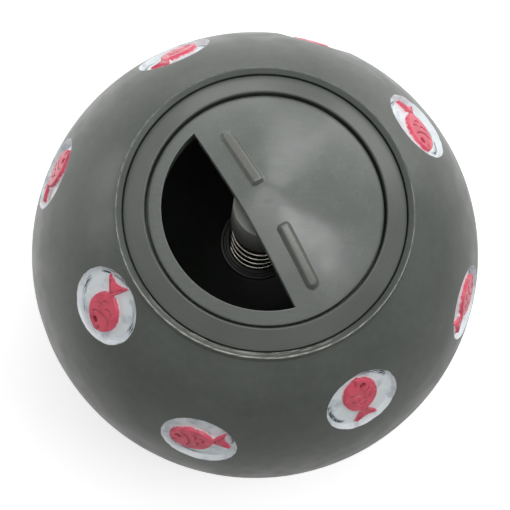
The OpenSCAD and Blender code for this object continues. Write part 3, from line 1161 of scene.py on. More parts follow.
@dataclass
class Ball:
    """The moulded ball, with its mouth, lip, resting land and medallions.

    Attributes:
        ball_d: Outside diameter.
        wall: Thickness of the wall.
        land_d: Diameter of the flat land underneath.
        mouth_d: Diameter of the mouth.
        lip_w: Width of the lip.
        lip_h: Height of the lip above the ball.
        lip_rise: Height that the lip climbs from its inner edge to its crest.
        step_w: Width of the step in the mouth.
        step_drop: Depth of the step below the mouth's edge.
        collar: Width of the skin between the lip and the open skin.
        columns: Number of points around the mouth.
        spacing: Distance between points on the open skin.
        fish_turn: Each fish is turned on by this angle from the one before it.
        upper: The upper medallions, each with its angle from the axis and its angle around it.
        middle: The medallions just under the widest place.
        lower: The lower rows, each with its angle from the axis and the angle around it of its first one.
        medallion: The medallion that repeats.
    """

    ball_d: float = 75.0
    wall: float = 2.6
    land_d: float = 14.0
    mouth_d: float = 43.8
    lip_w: float = 1.4
    lip_h: float = 1.0
    lip_rise: float = 0.42
    step_w: float = 1.0
    step_drop: float = 1.15
    collar: float = 0.2
    columns: int = 240
    spacing: float = 1.05
    fish_turn: float = 67.0
    upper: tuple[tuple[float, float], ...] = (
        (58.4, 0), (53.8, 94), (61.8, 176), (49, 270), (71.8, 43.5), (70, 135), (70, 223), (68.5, 314),
    )
    middle: tuple[tuple[float, float], ...] = ((104, 0), (104, 90), (104, 180), (97, 259))
    lower: tuple[tuple[float, float], ...] = ((122, 45), (150, 0))
    medallion: Medallion = field(default_factory=Medallion)

    @property
    def radius(self) -> float:
        """Radius of the ball."""
        return self.ball_d / 2

    @property
    def middle_z(self) -> float:
        """Height of the ball's middle above the floor."""
        return math.sqrt(self.radius**2 - self.land_d**2 / 4)

    @property
    def mouth_r(self) -> float:
        """Radius of the mouth."""
        return self.mouth_d / 2

    @property
    def crest_r(self) -> float:
        """Radius of the lip's crest."""
        return self.mouth_r + 0.68 * self.lip_w

    @property
    def step_r(self) -> float:
        """Radius of the bore below the step."""
        return self.mouth_r - self.step_w

    @property
    def inner_r(self) -> float:
        """Radius of the ball's inner skin."""
        return self.radius - self.wall

    def height(self, r: float, big: float | None = None) -> float:
        """Returns the height of the ball, or of a sphere of another radius, at distance r from the axis."""
        return math.sqrt((big or self.radius) ** 2 - r**2)

    def places(self) -> list[tuple[float, float]]:
        """Returns each medallion's angle from the axis and angle around it. A lower row has four."""
        low = [(polar, start + 90 * k) for polar, start in self.lower for k in range(4)]
        return [*self.upper, *self.middle, *low]

    def turns(self) -> list[Matrix]:
        """Returns the turn that carries a medallion from the top of the ball to each place."""
        return [
            Matrix.Rotation(math.radians(around), 3, "Z")
            @ Matrix.Rotation(math.radians(polar), 3, "Y")
            @ Matrix.Rotation(math.radians(self.fish_turn * k), 3, "Z")
            for k, (polar, around) in enumerate(self.places())
        ]

    def ring(self, radius: float, count: int, turn: np.ndarray, sign: int = 1) -> np.ndarray:
        """Returns a circle of points on the ball, around the axis that the turn gives."""
        high = np.full(count, sign * self.height(radius))
        return np.column_stack([hoop(radius, count), high]) @ turn.T

    def even_points(self) -> np.ndarray:
        """Returns points spread evenly over the ball, on a spiral of golden turns."""
        count = round(4 * math.pi * self.radius**2 / (0.866 * self.spacing**2))
        k = np.arange(count) + 0.5
        rise, around = 1 - 2 * k / count, math.pi * (3 - math.sqrt(5)) * k
        level_r = np.sqrt(1 - rise**2)
        return self.radius * np.column_stack([level_r * np.cos(around), level_r * np.sin(around), rise])

    def open_skin(self) -> Skin:
        """Returns the skin between the lip, the land and the medallions, with evenly spread points."""
        own, rim_r = np.eye(3), self.medallion.rim_r
        turns = [np.array(turn) for turn in self.turns()]
        lip_r, land_r = self.mouth_r + self.lip_w + self.collar, self.land_d / 2 + self.collar
        rings = [self.ring(lip_r, self.columns, own), self.ring(land_r, self.columns, own, -1)]
        rings += [self.ring(rim_r, self.medallion.columns, turn) for turn in turns]
        extra = [self.ring(lip_r + 0.5, self.columns, own), self.ring(land_r + 0.4, 96, own, -1)]
        for off, count in ((0.5, 72), (1.2, 56)):
            extra += [self.ring(rim_r + off, count, turn) for turn in turns]
        axes = np.array([turn[:, 2] for turn in turns])

        def clear(places: np.ndarray, off: float) -> np.ndarray:
            low, high = -self.height(land_r + off), self.height(lip_r + off)
            keep = (places[:, 2] > low) & (places[:, 2] < high)
            return places[keep & ((places @ axes.T).max(axis=1) < self.height(rim_r + off))]

        points = np.concatenate([*rings, clear(np.concatenate(extra), 0.3), clear(self.even_points(), 1.5)])
        flat = points[:, :2] / (self.radius - points[:, 2:])
        starts = np.cumsum([0] + [len(ring) for ring in rings])
        owner = np.full(len(points), -1)
        sides: list[tuple[int, int]] = []
        for number, (start, end) in enumerate(zip(starts, starts[1:])):
            owner[start:end] = number
            sides.extend((int(k), int(k + 1 if k + 1 < end else start)) for k in range(start, end))
        made = delaunay_2d_cdt([Vector(place) for place in flat], sides, [], 0, 1e-7)
        source = [origins[0] for origins in made[3]]
        faces = []
        for triangle in made[2]:
            corners = tuple(source[corner] for corner in triangle)
            owners = {int(owner[corner]) for corner in corners}
            if len(owners) > 1 or -1 in owners:
                faces.append(corners)
        near = points @ axes.T
        gap = np.where(near > 0, np.sqrt(np.clip(self.radius**2 - near**2, 0, None)), self.radius).min(axis=1)
        values = {"pocket_gap": np.clip(gap - self.medallion.pocket_d / 2, None, FAR)}
        return Skin(points, faces, values)

    def medallions(self, material: bpy.types.Material) -> Skin:
        """Returns all medallions, one pattern put at each place.

        Args:
            material: The ball's finish.

        Returns:
            Their skins.
        """
        pattern = self.medallion.skin(self.radius)
        mesh = bare_mesh("medallion_pattern", pattern)
        sample = linked(bpy.data.objects.new("medallion_pattern", mesh))
        turns = self.turns()
        seats = bpy.data.meshes.new("medallion_seats")
        seats.from_pydata([(0, 0, 0)] * len(turns), [], [])
        angles = np.array([tuple(turn.to_euler("XYZ")) for turn in turns], np.float32)
        seats.attributes.new("turn", "FLOAT_VECTOR", "POINT").data.foreach_set("vector", angles.ravel())
        tree = GeometryTree("medallions", {"Pattern": "NodeSocketObject", "Size": "NodeSocketFloat"})
        pattern_node = tree.add("GeometryNodeObjectInfo", {"Object": tree.given["Pattern"]})
        turn = tree.add("GeometryNodeInputNamedAttribute", {"Name": "turn"}, data_type="FLOAT_VECTOR")
        as_turn = tree.add("FunctionNodeEulerToRotation", {0: turn.outputs[0]})
        copies = tree.add("GeometryNodeInstanceOnPoints", {
            "Points": tree.given["Geometry"], "Instance": pattern_node.outputs["Geometry"],
            "Rotation": as_turn.outputs[0], "Scale": tree.given["Size"],
        })
        tree.end(copies.outputs[0], material)
        made = tree.run(bpy.data.objects.new("medallion_seats", seats), {"Pattern": sample, "Size": 1.0})
        bpy.data.objects.remove(sample)
        return skin_of(made, tuple(pattern.values))

    def mouth(self) -> Skin:
        """Returns the lip, which climbs outwards to its crest, the mouth's step and the inner skin."""
        mouth_r, step_r, crest_r, inner_r = self.mouth_r, self.step_r, self.crest_r, self.inner_r
        crest_h = self.height(mouth_r + self.lip_w / 2) + self.lip_h
        step_h = self.height(mouth_r) - self.step_drop
        start_r, foot_r = mouth_r + self.lip_w + self.collar, mouth_r + self.lip_w - self.collar / 2
        line = rounded([
            (start_r, self.height(start_r), 0), (foot_r, self.height(foot_r), 0.3),
            (crest_r + 0.15, crest_h - 0.01, 0.12), (crest_r - 0.15, crest_h, 0.3),
            (mouth_r + 0.05, crest_h - self.lip_rise, 0.16), (mouth_r, step_h, 0.15), (step_r, step_h, 0.2),
            (step_r, self.height(step_r, inner_r), 0.2), (mouth_r, self.height(mouth_r, inner_r), 0),
        ])
        turn = math.degrees(math.asin(mouth_r / inner_r))
        inner = arc((0, 0), inner_r, 90 - turn, -90, 34)[1:]
        inner[-1, 0] = 0
        return lathe(np.concatenate([line, inner]), self.columns)

    def land(self) -> Skin:
        """Returns the flat land that the ball rests on."""
        land_r = self.land_d / 2
        rows = [(r, -self.height(r)) for r in (land_r + self.collar, land_r + 0.05)]
        flat = [land_r - 0.1, *(share * land_r for share in (0.9, 0.6, 0.3, 0))]
        rows += [(r, -self.height(land_r)) for r in flat]
        return lathe(np.array(rows), self.columns)

    def build(self, bench: Bench, finish: PaintedPlastic) -> None:
        """Makes the ball's skin and puts it in place of the CAD shell."""
        material = finish.material()
        skin = joined([self.open_skin(), self.medallions(material), self.mouth(), self.land()])
        bench.piece("ball_skin", skin, material, Body.BALL, Slot.BALL, "ball_shell")


@dataclass
class Dome:
    """The line that the dial's top follows, an arc whose slope runs from the middle to the edge.

    Attributes:
        dial: Reach of the dial.
        thick: Thickness of the dial.
        edge_slope: Slope at its edge, in degrees.
        middle_slope: Slope at its middle, in degrees.
        soft_r: Radius within which the top is rounded off in the middle.
    """

    dial: Span
    thick: float = 1.7
    edge_slope: float = 26.0
    middle_slope: float = 12.3
    soft_r: float = 3.2

    @property
    def edge_r(self) -> float:
        """Radius of the dial."""
        return self.dial.radius

    @property
    def edge_h(self) -> float:
        """Height of the line at the dial's edge."""
        return self.dial.low + self.thick

    @property
    def radius(self) -> float:
        """Radius of the arc."""
        edge, middle = (math.sin(math.radians(slope)) for slope in (self.edge_slope, self.middle_slope))
        return self.edge_r / (edge - middle)

    def height(self, r: np.ndarray | float) -> np.ndarray:
        """Returns the height of the line at distance r from the axis."""
        middle_r = -self.radius * math.sin(math.radians(self.middle_slope))
        middle_h = self.edge_h - self.radius * math.cos(math.radians(self.edge_slope))
        return middle_h + np.sqrt(self.radius**2 - (np.asarray(r) - middle_r) ** 2)

    def top(self, r: np.ndarray) -> np.ndarray:
        """Returns the height of the dial's top at distance r from the axis."""
        rounding = math.tan(math.radians(self.middle_slope)) / (2 * self.soft_r)
        return self.height(r) - rounding * np.clip(self.soft_r - r, 0, None) ** 2

    def under(self, r: np.ndarray | float, gap: float = 0.0) -> np.ndarray:
        """Returns the height of the dial's underside at distance r from the axis, or of a line under it."""
        return self.height(r) - self.thick - gap


@dataclass
class Lid:
    """The collar in the mouth, and the half plate with the hub that is set in it.

    Attributes:
        dome: The dial's dome, which the plate follows.
        ring: Reach of the collar.
        fixed: Reach of the half plate, whose lowest part is the hub's end.
        inner_r: Radius of the ball's inner skin.
        collar_w: Width of the collar's face from the mouth to its inner edge.
        collar_slope: Slope of that face, in degrees.
        rim_gap: How much narrower the flange is than the CAD one, so that the joint in the mouth shows dark.
        flange_t: Thickness of its flange.
        step_w: Width of the step that carries the flange.
        skirt_t: Thickness of its skirt.
        barb_w: Reach of the barb that grips under the mouth.
        seat_gap: Clearance between the collar and what it sits in.
        ledge_w: Width of the ledge that the plate is set on.
        bead_w: Width of the bead at the well. The slope is measured from its outer foot.
        crest_w: Width of the round that climbs from the well to the bead's crest.
        plate_t: Thickness of the ledge and of the plate.
        plate_gap: Gap between the dial and the plate.
        plate_offset: Distance from the axis to the plate's straight edge.
        hub_r: Radius of the hub.
        hub_drop: Depth of the hub's end below the dial's underside.
        bore_r: Radius of the hub's bore.
        columns: Number of points around the collar.
    """

    dome: Dome
    ring: Span
    fixed: Span
    inner_r: float
    collar_w: float = 3.35
    collar_slope: float = 28.0
    rim_gap: float = 0.08
    flange_t: float = 1.05
    step_w: float = 1.0
    skirt_t: float = 1.5
    barb_w: float = 0.7
    seat_gap: float = 0.1
    ledge_w: float = 2.3
    bead_w: float = 0.9
    crest_w: float = 0.32
    plate_t: float = 1.4
    plate_gap: float = 0.35
    plate_offset: float = 2.4
    hub_r: float = 5.1
    hub_drop: float = 0.85
    bore_r: float = 2.05
    columns: int = 256

    @property
    def well_r(self) -> float:
        """Radius of the well that the dial turns in."""
        return self.ring.radius - self.collar_w

    @property
    def ledge_r(self) -> float:
        """Inner radius of the ledge."""
        return self.well_r - self.ledge_w

    @property
    def ledge_h(self) -> float:
        """Height of the ledge."""
        return float(self.dome.under(self.fixed.radius, self.plate_gap)) - self.plate_t / 2

    @property
    def hub_top_h(self) -> float:
        """Height of the hub's upper end."""
        return float(self.dome.under(self.hub_r, self.hub_drop))

    def collar(self) -> Skin:
        """Returns the collar, turned from a closed line that starts in the middle of its sloping face."""
        ring_r, low_h, crest_h, well_r = self.ring.radius, self.ring.low, self.ring.high, self.well_r
        fall = (ring_r - well_r - self.bead_w) * math.tan(math.radians(self.collar_slope))
        outer_r, edge_h = ring_r - self.rim_gap, crest_h - self.bead_w / 2 - fall
        seat_h, skirt_r = edge_h - self.flange_t, ring_r - self.step_w
        barb_r, skirt_in_r = skirt_r + self.barb_w, skirt_r - self.skirt_t
        barb_top_h, barb_h = (math.sqrt(self.inner_r**2 - r**2) - self.seat_gap for r in (skirt_r, barb_r))
        ledge_r, ledge_h, under_h = self.ledge_r, self.ledge_h, self.ledge_h - self.plate_t
        crest_r, round_r = well_r + self.crest_w, self.crest_w
        start = ((crest_r + outer_r) / 2, (crest_h + edge_h) / 2, 0)
        bead = [(*point, 0) for point in arc((crest_r, crest_h - round_r), round_r, 180, 90, 8)[:-1]]
        return lathe(rounded([
            start, (outer_r, edge_h, 0.18), (outer_r, seat_h, 0.1), (skirt_r, seat_h, 0.12),
            (skirt_r, barb_top_h, 0.1), (barb_r, barb_h, 0.12), (skirt_r - self.seat_gap, low_h, 0.2),
            (skirt_in_r, low_h, 0.2), (skirt_in_r, under_h, 0.3), (ledge_r, under_h, 0.2),
            (ledge_r, ledge_h, 0.2), (well_r, ledge_h, 0.2), *bead, (crest_r, crest_h, 0.1), start,
        ]), self.columns)

    def plate_outline(self) -> np.ndarray:
        """Returns the corners of the half plate, which ends inside the hub's wall."""
        plate_r, hole_r = self.fixed.radius, self.hub_r - 0.1
        outer = math.degrees(math.asin(self.plate_offset / plate_r))
        inner = math.degrees(math.asin(self.plate_offset / hole_r))
        return np.concatenate([
            arc((0, 0), plate_r, -outer, 180 + outer, 150), arc((0, 0), hole_r, 180 + inner, -inner, 60)
        ])

    def plate(self) -> Skin:
        """Returns the half plate, domed like the dial over it, with a flat rim on the ledge."""
        loop, edge, seat_r = Loop(self.plate_outline(), 0.5), Edge(0.15), self.ledge_r - self.seat_gap
        foot_r, ledge_h = self.ledge_r - self.plate_t, self.ledge_h

        def top(places: np.ndarray) -> np.ndarray:
            gap = np.minimum(loop.gap(places), 0)
            return self.dome.under(radii(places), self.plate_gap) - edge.drop(gap)

        def bottom(places: np.ndarray) -> np.ndarray:
            r, gap = radii(places), np.minimum(loop.gap(places), 0)
            domed = self.dome.under(r, self.plate_gap + self.plate_t)
            domed = np.where(r > seat_r, ledge_h, np.where(r > foot_r, np.minimum(domed, ledge_h), domed))
            return domed + edge.drop(gap)

        rows = [loop.row(gap) for gap in edge.rows()[1:]]
        steps = [circle(r + off, 0.6) for r in (foot_r, seat_r) for off in (-0.02, 0.02)]
        rows += [ring[loop.gap(ring) < -0.3] for ring in steps]
        fill = lattice(self.fixed.radius, 0.9)
        points = spread(rows + [loop.corners], fill[loop.gap(fill) < -0.5], 0.4)
        return Sheet(points, [loop.corners], lambda places: loop.gap(places) < 0, top, bottom).skin()

    def hub(self) -> Skin:
        """Returns the hub with its bore."""
        low, high = self.fixed.low, self.hub_top_h
        start = (self.hub_r, (low + high) / 2, 0)
        return lathe(rounded([
            start, (self.hub_r, low, 0.3), (self.bore_r, low, 0.25), (self.bore_r, high, 0.15),
            (self.hub_r, high, 0.2), start,
        ]), 96)

    def build(self, bench: Bench, finish: MouldedPlastic, plate_lit_finish: MouldedPlastic) -> None:
        """Makes the collar and the half plate, and puts them in place of the CAD solids."""
        bench.piece("collar", self.collar(), finish.material(), Body.BALL, Slot.LID, "collar_ring")
        fixed = joined([self.plate(), self.hub()])
        bench.piece("half_plate", fixed, plate_lit_finish.material(), Body.BALL, Slot.LID, "shutter_plate")


@dataclass
class PanScrew:
    """The screw that holds the washer: a thread that runs out at its tip, and a pan head.

    Attributes:
        bolt: Reach of the screw.
        head_h: Height of its head.
        shank_r: Radius of its thread.
        pitch: Pitch of the thread.
        flank: Half the width of a ridge, as a share of the pitch.
        tip: Radius of the core at the tip, as a share of the thread's radius.
        core: Radius of the core elsewhere.
        runout: Length over which the thread runs out.
        columns: Number of points around the shank.
        step: Distance between rows of points along it.
        pan: Rounding of the head.
        slot: Cross section of the recess.
        slot_l: Half the length of each arm of the cross.
        slot_w: Half its width.
    """

    bolt: Span
    head_h: float = 1.8
    shank_r: float = 1.3
    pitch: float = 0.9
    flank: float = 0.3
    tip: float = 0.72
    core: float = 0.76
    runout: float = 1.2
    columns: int = 24
    step: float = 0.09
    pan: Edge = Edge(0.7, 5)
    slot: Shoulder = Shoulder(0.95, 0.1, 0.08, 0.22)
    slot_l: float = 1.4
    slot_w: float = 0.35

    @property
    def head_top_h(self) -> float:
        """Height of the head's flat upper face."""
        return self.bolt.low + self.head_h

    def shank(self) -> Skin:
        """Returns the threaded shank, whose lower end is inside the head."""
        columns, low, high = self.columns, self.head_top_h - 0.3, self.bolt.high
        heights = np.arange(low, high, self.step)
        turn = 2 * math.pi * np.arange(columns) / columns
        along = ((heights[:, None] - low) / self.pitch - turn[None, :] / (2 * math.pi)) % 1
        ridge = np.clip(1 - np.abs(along - 0.5) / self.flank, 0, 1)
        fade = np.clip((high - heights) / self.runout, 0, 1)[:, None]
        radius = (self.tip + (self.core - self.tip + (1 - self.core) * ridge) * fade) * self.shank_r
        levels = np.repeat(heights[:, None], columns, 1)
        points = np.stack([radius * np.cos(turn), radius * np.sin(turn), levels], -1)
        rows = [list(range(k * columns, (k + 1) * columns)) for k in range(len(heights))]
        ends = len(heights) * columns
        pairs = [([ends] * columns, rows[0]), *zip(rows, rows[1:]), (rows[-1], [ends + 1] * columns)]
        tips = np.array([(0, 0, low), (0, 0, high)])
        return Skin(np.concatenate([points.reshape(-1, 3), tips]), banded(pairs, columns))

    def cross(self) -> np.ndarray:
        """Returns the corners of the cross recess."""
        long, short = self.slot_l, self.slot_w
        quarter = np.array([(long, -short), (long, short), (short, short)])
        ways = [(math.cos(t), math.sin(t)) for t in (k * math.pi / 2 for k in range(4))]
        return np.concatenate([quarter @ np.array([(c, s), (-s, c)]) for c, s in ways])

    def head(self) -> Skin:
        """Returns the pan head with its cross recess."""
        cross, head_r = Loop(self.cross(), 0.2), self.bolt.radius

        def face(places: np.ndarray) -> np.ndarray:
            return self.bolt.low + self.pan.drop(radii(places) - head_r) + self.slot.rise(cross.gap(places))

        rows = [circle(head_r + gap, 0.3) for gap in self.pan.rows()]
        rows += [cross.row(gap) for gap in self.slot.rows()]
        points = spread(rows, lattice(head_r - 0.2, 0.35), 0.2)
        return Sheet(
            points, [rows[0]], lambda places: radii(places) < head_r,
            lambda places: np.full(len(places), self.head_top_h), face,
        ).skin()


@dataclass
class Dial:
    """The dial with its window and finger ribs, its spindle and the screw that holds the washer.

    Attributes:
        dome: Its dome.
        shaft: Reach of the spindle.
        screw: The screw.
        hub_low_h: Height of the hub's lower end.
        hub_top_h: Height of its upper end.
        lift: Distance that the dial can be lifted.
        shaft_gap: Clearance around a shaft.
        thrust_gap: Clearance between flat faces that turn on each other.
        edge: Rounding of the dial's rim.
        window_rim: Width of the rim left around the window.
        window_offset: Distance from the axis to the window's straight edge.
        rib_w: Width of a finger rib.
        rib_l: Length of a finger rib.
        rib_reach: Distance from the axis to each rib's inner end, on the left and on the right.
        rib: Cross section of a rib's side.
        mark_r: Radius of the soft moulding mark.
        mark_h: Depth of the mark.
        boss_r: Radius of the boss underneath.
        spindle_r: Radius of the spindle.
        tip_gap: Room left over the screw's tip.
    """

    dome: Dome
    shaft: Span
    screw: PanScrew
    hub_low_h: float
    hub_top_h: float
    lift: float = 3.0
    shaft_gap: float = 0.05
    thrust_gap: float = 0.1
    edge: Edge = Edge(0.17, 5)
    window_rim: float = 2.1
    window_offset: float = 3.9
    rib_w: float = 1.9
    rib_l: float = 10.3
    rib_reach: tuple[float, float] = (2.8, 4.2)
    rib: Shoulder = Shoulder(1.05, 0.12, 0.34, 0.38, 6)
    mark_r: float = 1.05
    mark_h: float = 0.15
    boss_r: float = 3.6
    spindle_r: float = 2.0
    tip_gap: float = 0.6

    @property
    def bore_r(self) -> float:
        """Radius of the bore for the spindle."""
        return self.spindle_r + self.shaft_gap

    def window(self) -> Loop:
        """Returns the window's outline, an arc shut by a straight side."""
        window_r = self.dome.edge_r - self.window_rim
        turn = math.degrees(math.asin(self.window_offset / window_r))
        return Loop(arc((0, 0), window_r, 180 + turn, 360 - turn, 90), 0.35)

    def rib_outline(self, side: int) -> Loop:
        """Returns a rib's outline, round at its outer end and squarer at its inner end."""
        lean = self.rib.lean / 4
        half, soft = self.rib_w / 2 - lean, 0.45
        inner = (self.rib_reach[0] if side < 0 else self.rib_reach[1]) + lean
        outer = inner + self.rib_l - 2 * lean - half
        ring = np.concatenate([
            arc((outer, 0), half, -90, 90, 16), arc((inner + soft, half - soft), soft, 90, 180, 6),
            arc((inner + soft, soft - half), soft, 180, 270, 6),
        ])
        return Loop(ring * (side, side), 0.4)

    def rim_height(self, r: np.ndarray) -> np.ndarray:
        """Returns the height of the dial's top, whose rim is rounded into its upright side."""
        slope, round_r = math.radians(self.dome.edge_slope), self.edge.radius
        middle_r = self.dome.edge_r - round_r
        touch_r = middle_r + round_r * math.sin(slope)
        middle_h = float(self.dome.height(touch_r)) - round_r * math.cos(slope)
        turned = middle_h + np.sqrt(np.clip(round_r**2 - (r - middle_r) ** 2, 0, None))
        return np.where(r > touch_r, turned, self.dome.top(r))

    def cap(self) -> Skin:
        """Returns the dial."""
        edge_r, window, thin = self.dome.edge_r, self.window(), Edge(0.14)
        ribs = [self.rib_outline(side) for side in (-1, 1)]
        boss_h, bore_h = self.hub_top_h + self.thrust_gap, self.shaft.high + self.thrust_gap

        def top(places: np.ndarray) -> np.ndarray:
            r = radii(places)
            raised = sum(self.rib.rise(rib.gap(places)) for rib in ribs)
            dent = self.mark_h * (0.5 + 0.5 * np.cos(np.pi * np.clip(r / self.mark_r, 0, 1)))
            return self.rim_height(r) + raised - dent - thin.drop(-np.maximum(window.gap(places), 0))

        def bottom(places: np.ndarray) -> np.ndarray:
            r = radii(places)
            under = self.dome.under(r) + thin.drop(-np.maximum(window.gap(places), 0))
            return np.where(r < self.bore_r, bore_h, np.where(r < self.boss_r, boss_h, under))

        turn = np.linspace(0, 64, 6)
        rim = [circle(edge_r - self.edge.radius * (1 - math.cos(math.radians(t))), 0.42) for t in turn]
        rows = [window.corners, *rim, circle(edge_r - 0.4, 0.42), circle(edge_r - 0.6, 0.5)]
        rows += [window.row(-gap) for gap in thin.rows()[1:]]
        rows += [rib.row(gap) for rib in ribs for gap in self.rib.rows()]
        rows += [circle(share * self.mark_r, 0.25) for share in (0.2, 0.4, 0.6, 0.8, 1.0)]
        rows += [circle(r + off, 0.35) for r in (self.bore_r, self.boss_r) for off in (-0.01, 0.01)]
        fill = lattice(edge_r, 0.62)
        inner = fill[(radii(fill) < edge_r - 0.8) & (window.gap(fill) > 0.4)]
        points = spread(rows, inner, 0.34)

        def inside(places: np.ndarray) -> np.ndarray:
            return (radii(places) < edge_r) & (window.gap(places) > 0)

        skin = Sheet(points, [rim[0], window.corners], inside, top, bottom).skin()
        gap = np.minimum(*(rib.gap(skin.points[:, :2]) for rib in ribs))
        skin.values["rib"] = np.clip(-gap / self.rib.crown, 0, 1)
        return skin

    def spindle(self) -> Skin:
        """Returns the spindle with its foot and screw hole."""
        low, high, foot_r = self.shaft.low, self.shaft.high, self.shaft.radius
        foot_h = self.hub_low_h - self.lift - self.thrust_gap
        hole_r, hole_h = self.screw.shank_r + self.shaft_gap, self.screw.bolt.high + self.tip_gap
        return lathe(rounded([
            (0, hole_h, 0), (hole_r, hole_h - 0.3, 0.1), (hole_r, low, 0.15), (foot_r, low, 0.3),
            (foot_r, foot_h, 0.3), (self.spindle_r, foot_h, 0.2), (self.spindle_r, high, 0.25), (0, high, 0),
        ]), 64)

    def build(
        self, bench: Bench, cap_finish: MouldedPlastic, spindle_finish: MouldedPlastic, steel: DrawnSteel
    ) -> None:
        """Makes the dial, the spindle and the screw, and puts them in place of the CAD solids."""
        bench.piece("dial_cap", self.cap(), cap_finish.material(), Body.DIAL, Slot.DIAL, "dial")
        bench.piece("dial_spindle", self.spindle(), spindle_finish.material(), Body.DIAL, Slot.LID, "spindle")
        screw = joined([self.screw.shank(), self.screw.head()])
        bench.piece("pan_screw", screw, steel.material(), Body.DIAL, Slot.SCREW, "retaining_screw")


@dataclass
class SpringSet:
    """The coil spring under the hub, and the washer that it presses on.

    Attributes:
        wound: Reach of the spring.
        seat: Reach of the washer.
        lift: Distance that the dial can be lifted.
        wire_r: Radius of the wire.
        turns: Number of turns.
        closed: Turns at each end that lie on each other.
        hole_r: Radius of the washer's hole.
        groove_in: Width of the washer's face outside its groove.
        groove_w: Width of the groove.
        groove_h: Depth of the groove.
        groove_lean: Width of each of its sides.
    """

    wound: Span
    seat: Span
    lift: float
    wire_r: float = 0.325
    turns: float = 5.8
    closed: float = 0.8
    hole_r: float = 1.35
    groove_in: float = 0.45
    groove_w: float = 0.55
    groove_h: float = 0.25
    groove_lean: float = 0.15

    @property
    def keep(self) -> float:
        """Share of its height that the spring keeps when the dial is lifted all the way."""
        return 1 - self.lift / (self.wound.high - self.wound.low)

    def coil(self, material: bpy.types.Material, middle_z: float) -> bpy.types.Object:
        """Winds the wire with Geometry Nodes.

        Args:
            material: The wire's finish.
            middle_z: Height of the ball's middle above the floor.

        Returns:
            The spring, in metres.
        """
        sizes = {
            "Coil radius": (self.wound.radius - self.wire_r) * MM, "Wire radius": self.wire_r * MM,
            "Turns": self.turns, "Closed turns": self.closed,
            "Low end": (middle_z + self.wound.low) * MM, "High end": (middle_z + self.wound.high) * MM,
        }
        counts = {"Points": round(60 * self.turns), "Sides": 20}
        kinds = {key: "NodeSocketFloat" for key in sizes} | {key: "NodeSocketInt" for key in counts}
        tree = GeometryTree("coil", kinds)
        given, compute, product = tree.given, tree.math, tree.product
        wire = tree.add("GeometryNodeCurvePrimitiveLine", {"Start": (0, 0, 0), "End": (0, 0, 1)})
        dense = tree.add("GeometryNodeResampleCurve", {"Curve": wire.outputs[0], "Count": given["Points"]})
        turned = product(tree.add("GeometryNodeSplineParameter").outputs["Factor"], given["Turns"])
        angle = product(turned, 2 * math.pi)
        thick, both = product(given["Wire radius"], 2.0), product(given["Closed turns"], 2.0)
        open_turns = compute("SUBTRACT", given["Turns"], both)
        height = compute("SUBTRACT", compute("SUBTRACT", given["High end"], given["Low end"]), thick)
        open_height = compute("SUBTRACT", height, product(both, thick))
        climb = compute("DIVIDE", open_height, open_turns)
        past_low = compute("SUBTRACT", turned, given["Closed turns"])
        middle = compute("MINIMUM", compute("MAXIMUM", past_low, 0.0), open_turns)
        flat = compute("SUBTRACT", turned, middle)
        rise = compute("ADD", product(flat, thick), product(middle, climb))
        place = tree.add("ShaderNodeCombineXYZ", {
            "X": product(given["Coil radius"], compute("COSINE", angle)),
            "Y": product(given["Coil radius"], compute("SINE", angle)),
            "Z": compute("ADD", compute("ADD", given["Low end"], given["Wire radius"]), rise),
        })
        inputs = {"Geometry": dense.outputs[0], "Position": place.outputs[0]}
        wound = tree.add("GeometryNodeSetPosition", inputs)
        inputs = {"Resolution": given["Sides"], "Radius": given["Wire radius"]}
        ring = tree.add("GeometryNodeCurvePrimitiveCircle", inputs)
        inputs = {"Curve": wound.outputs[0], "Profile Curve": ring.outputs[0], "Fill Caps": True}
        tree.end(tree.add("GeometryNodeCurveToMesh", inputs).outputs[0], material)
        start = bpy.data.objects.new("wire", bpy.data.meshes.new("wire"))
        made = skin_of(tree.run(start, sizes | counts))
        made.points[:, 2] -= middle_z
        return bpy.data.objects.new("coil_spring", Bench(middle_z).mesh("coil_spring", made))

    def washer(self) -> Skin:
        """Returns the washer, with a shallow groove around its rim."""
        low, high, rim_r = self.seat.low, self.seat.high, self.seat.radius
        start, groove_low = ((self.hole_r + rim_r) / 2, low, 0), high - self.groove_h
        outer_r, inner_r = rim_r - self.groove_in, rim_r - self.groove_in - self.groove_w
        return lathe(rounded([
            start, (self.hole_r, low, 0.12), (self.hole_r, high, 0.12), (inner_r, high, 0.1),
            (inner_r + self.groove_lean, groove_low, 0.08), (outer_r - self.groove_lean, groove_low, 0.08),
            (outer_r, high, 0.1), (rim_r, high, 0.25), (rim_r, low, 0.25), start,
        ]), 96)

    def build(self, bench: Bench, steel: DrawnSteel, plastic: MouldedPlastic) -> None:
        """Makes the spring and the washer, and puts them in place of the CAD solids."""
        material = steel.material()
        coil = self.coil(material, bench.middle_z)
        bench.placed(coil, material, Body.BALL, Slot.SPRING, "spring")
        anchor = (0, 0, (bench.middle_z + self.wound.high) * MM)
        self.keep
        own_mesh(coil)
        bench.piece("spring_seat", self.washer(), plastic.material(), Body.LIFTER, Slot.LID, "spring_washer")


@dataclass(frozen=True)
class Softbox:
    """A soft lamp, placed by the camera's own directions.

    Attributes:
        name: Its name.
        way: Direction from the ball: right, up and towards the camera.
        level: Brightness that it gives a white face turned towards it.
        size: Its width.
        distance: Its distance from the ball.
    """

    name: str
    way: tuple[float, float, float]
    level: float
    size: float = 0.5
    distance: float = 0.8


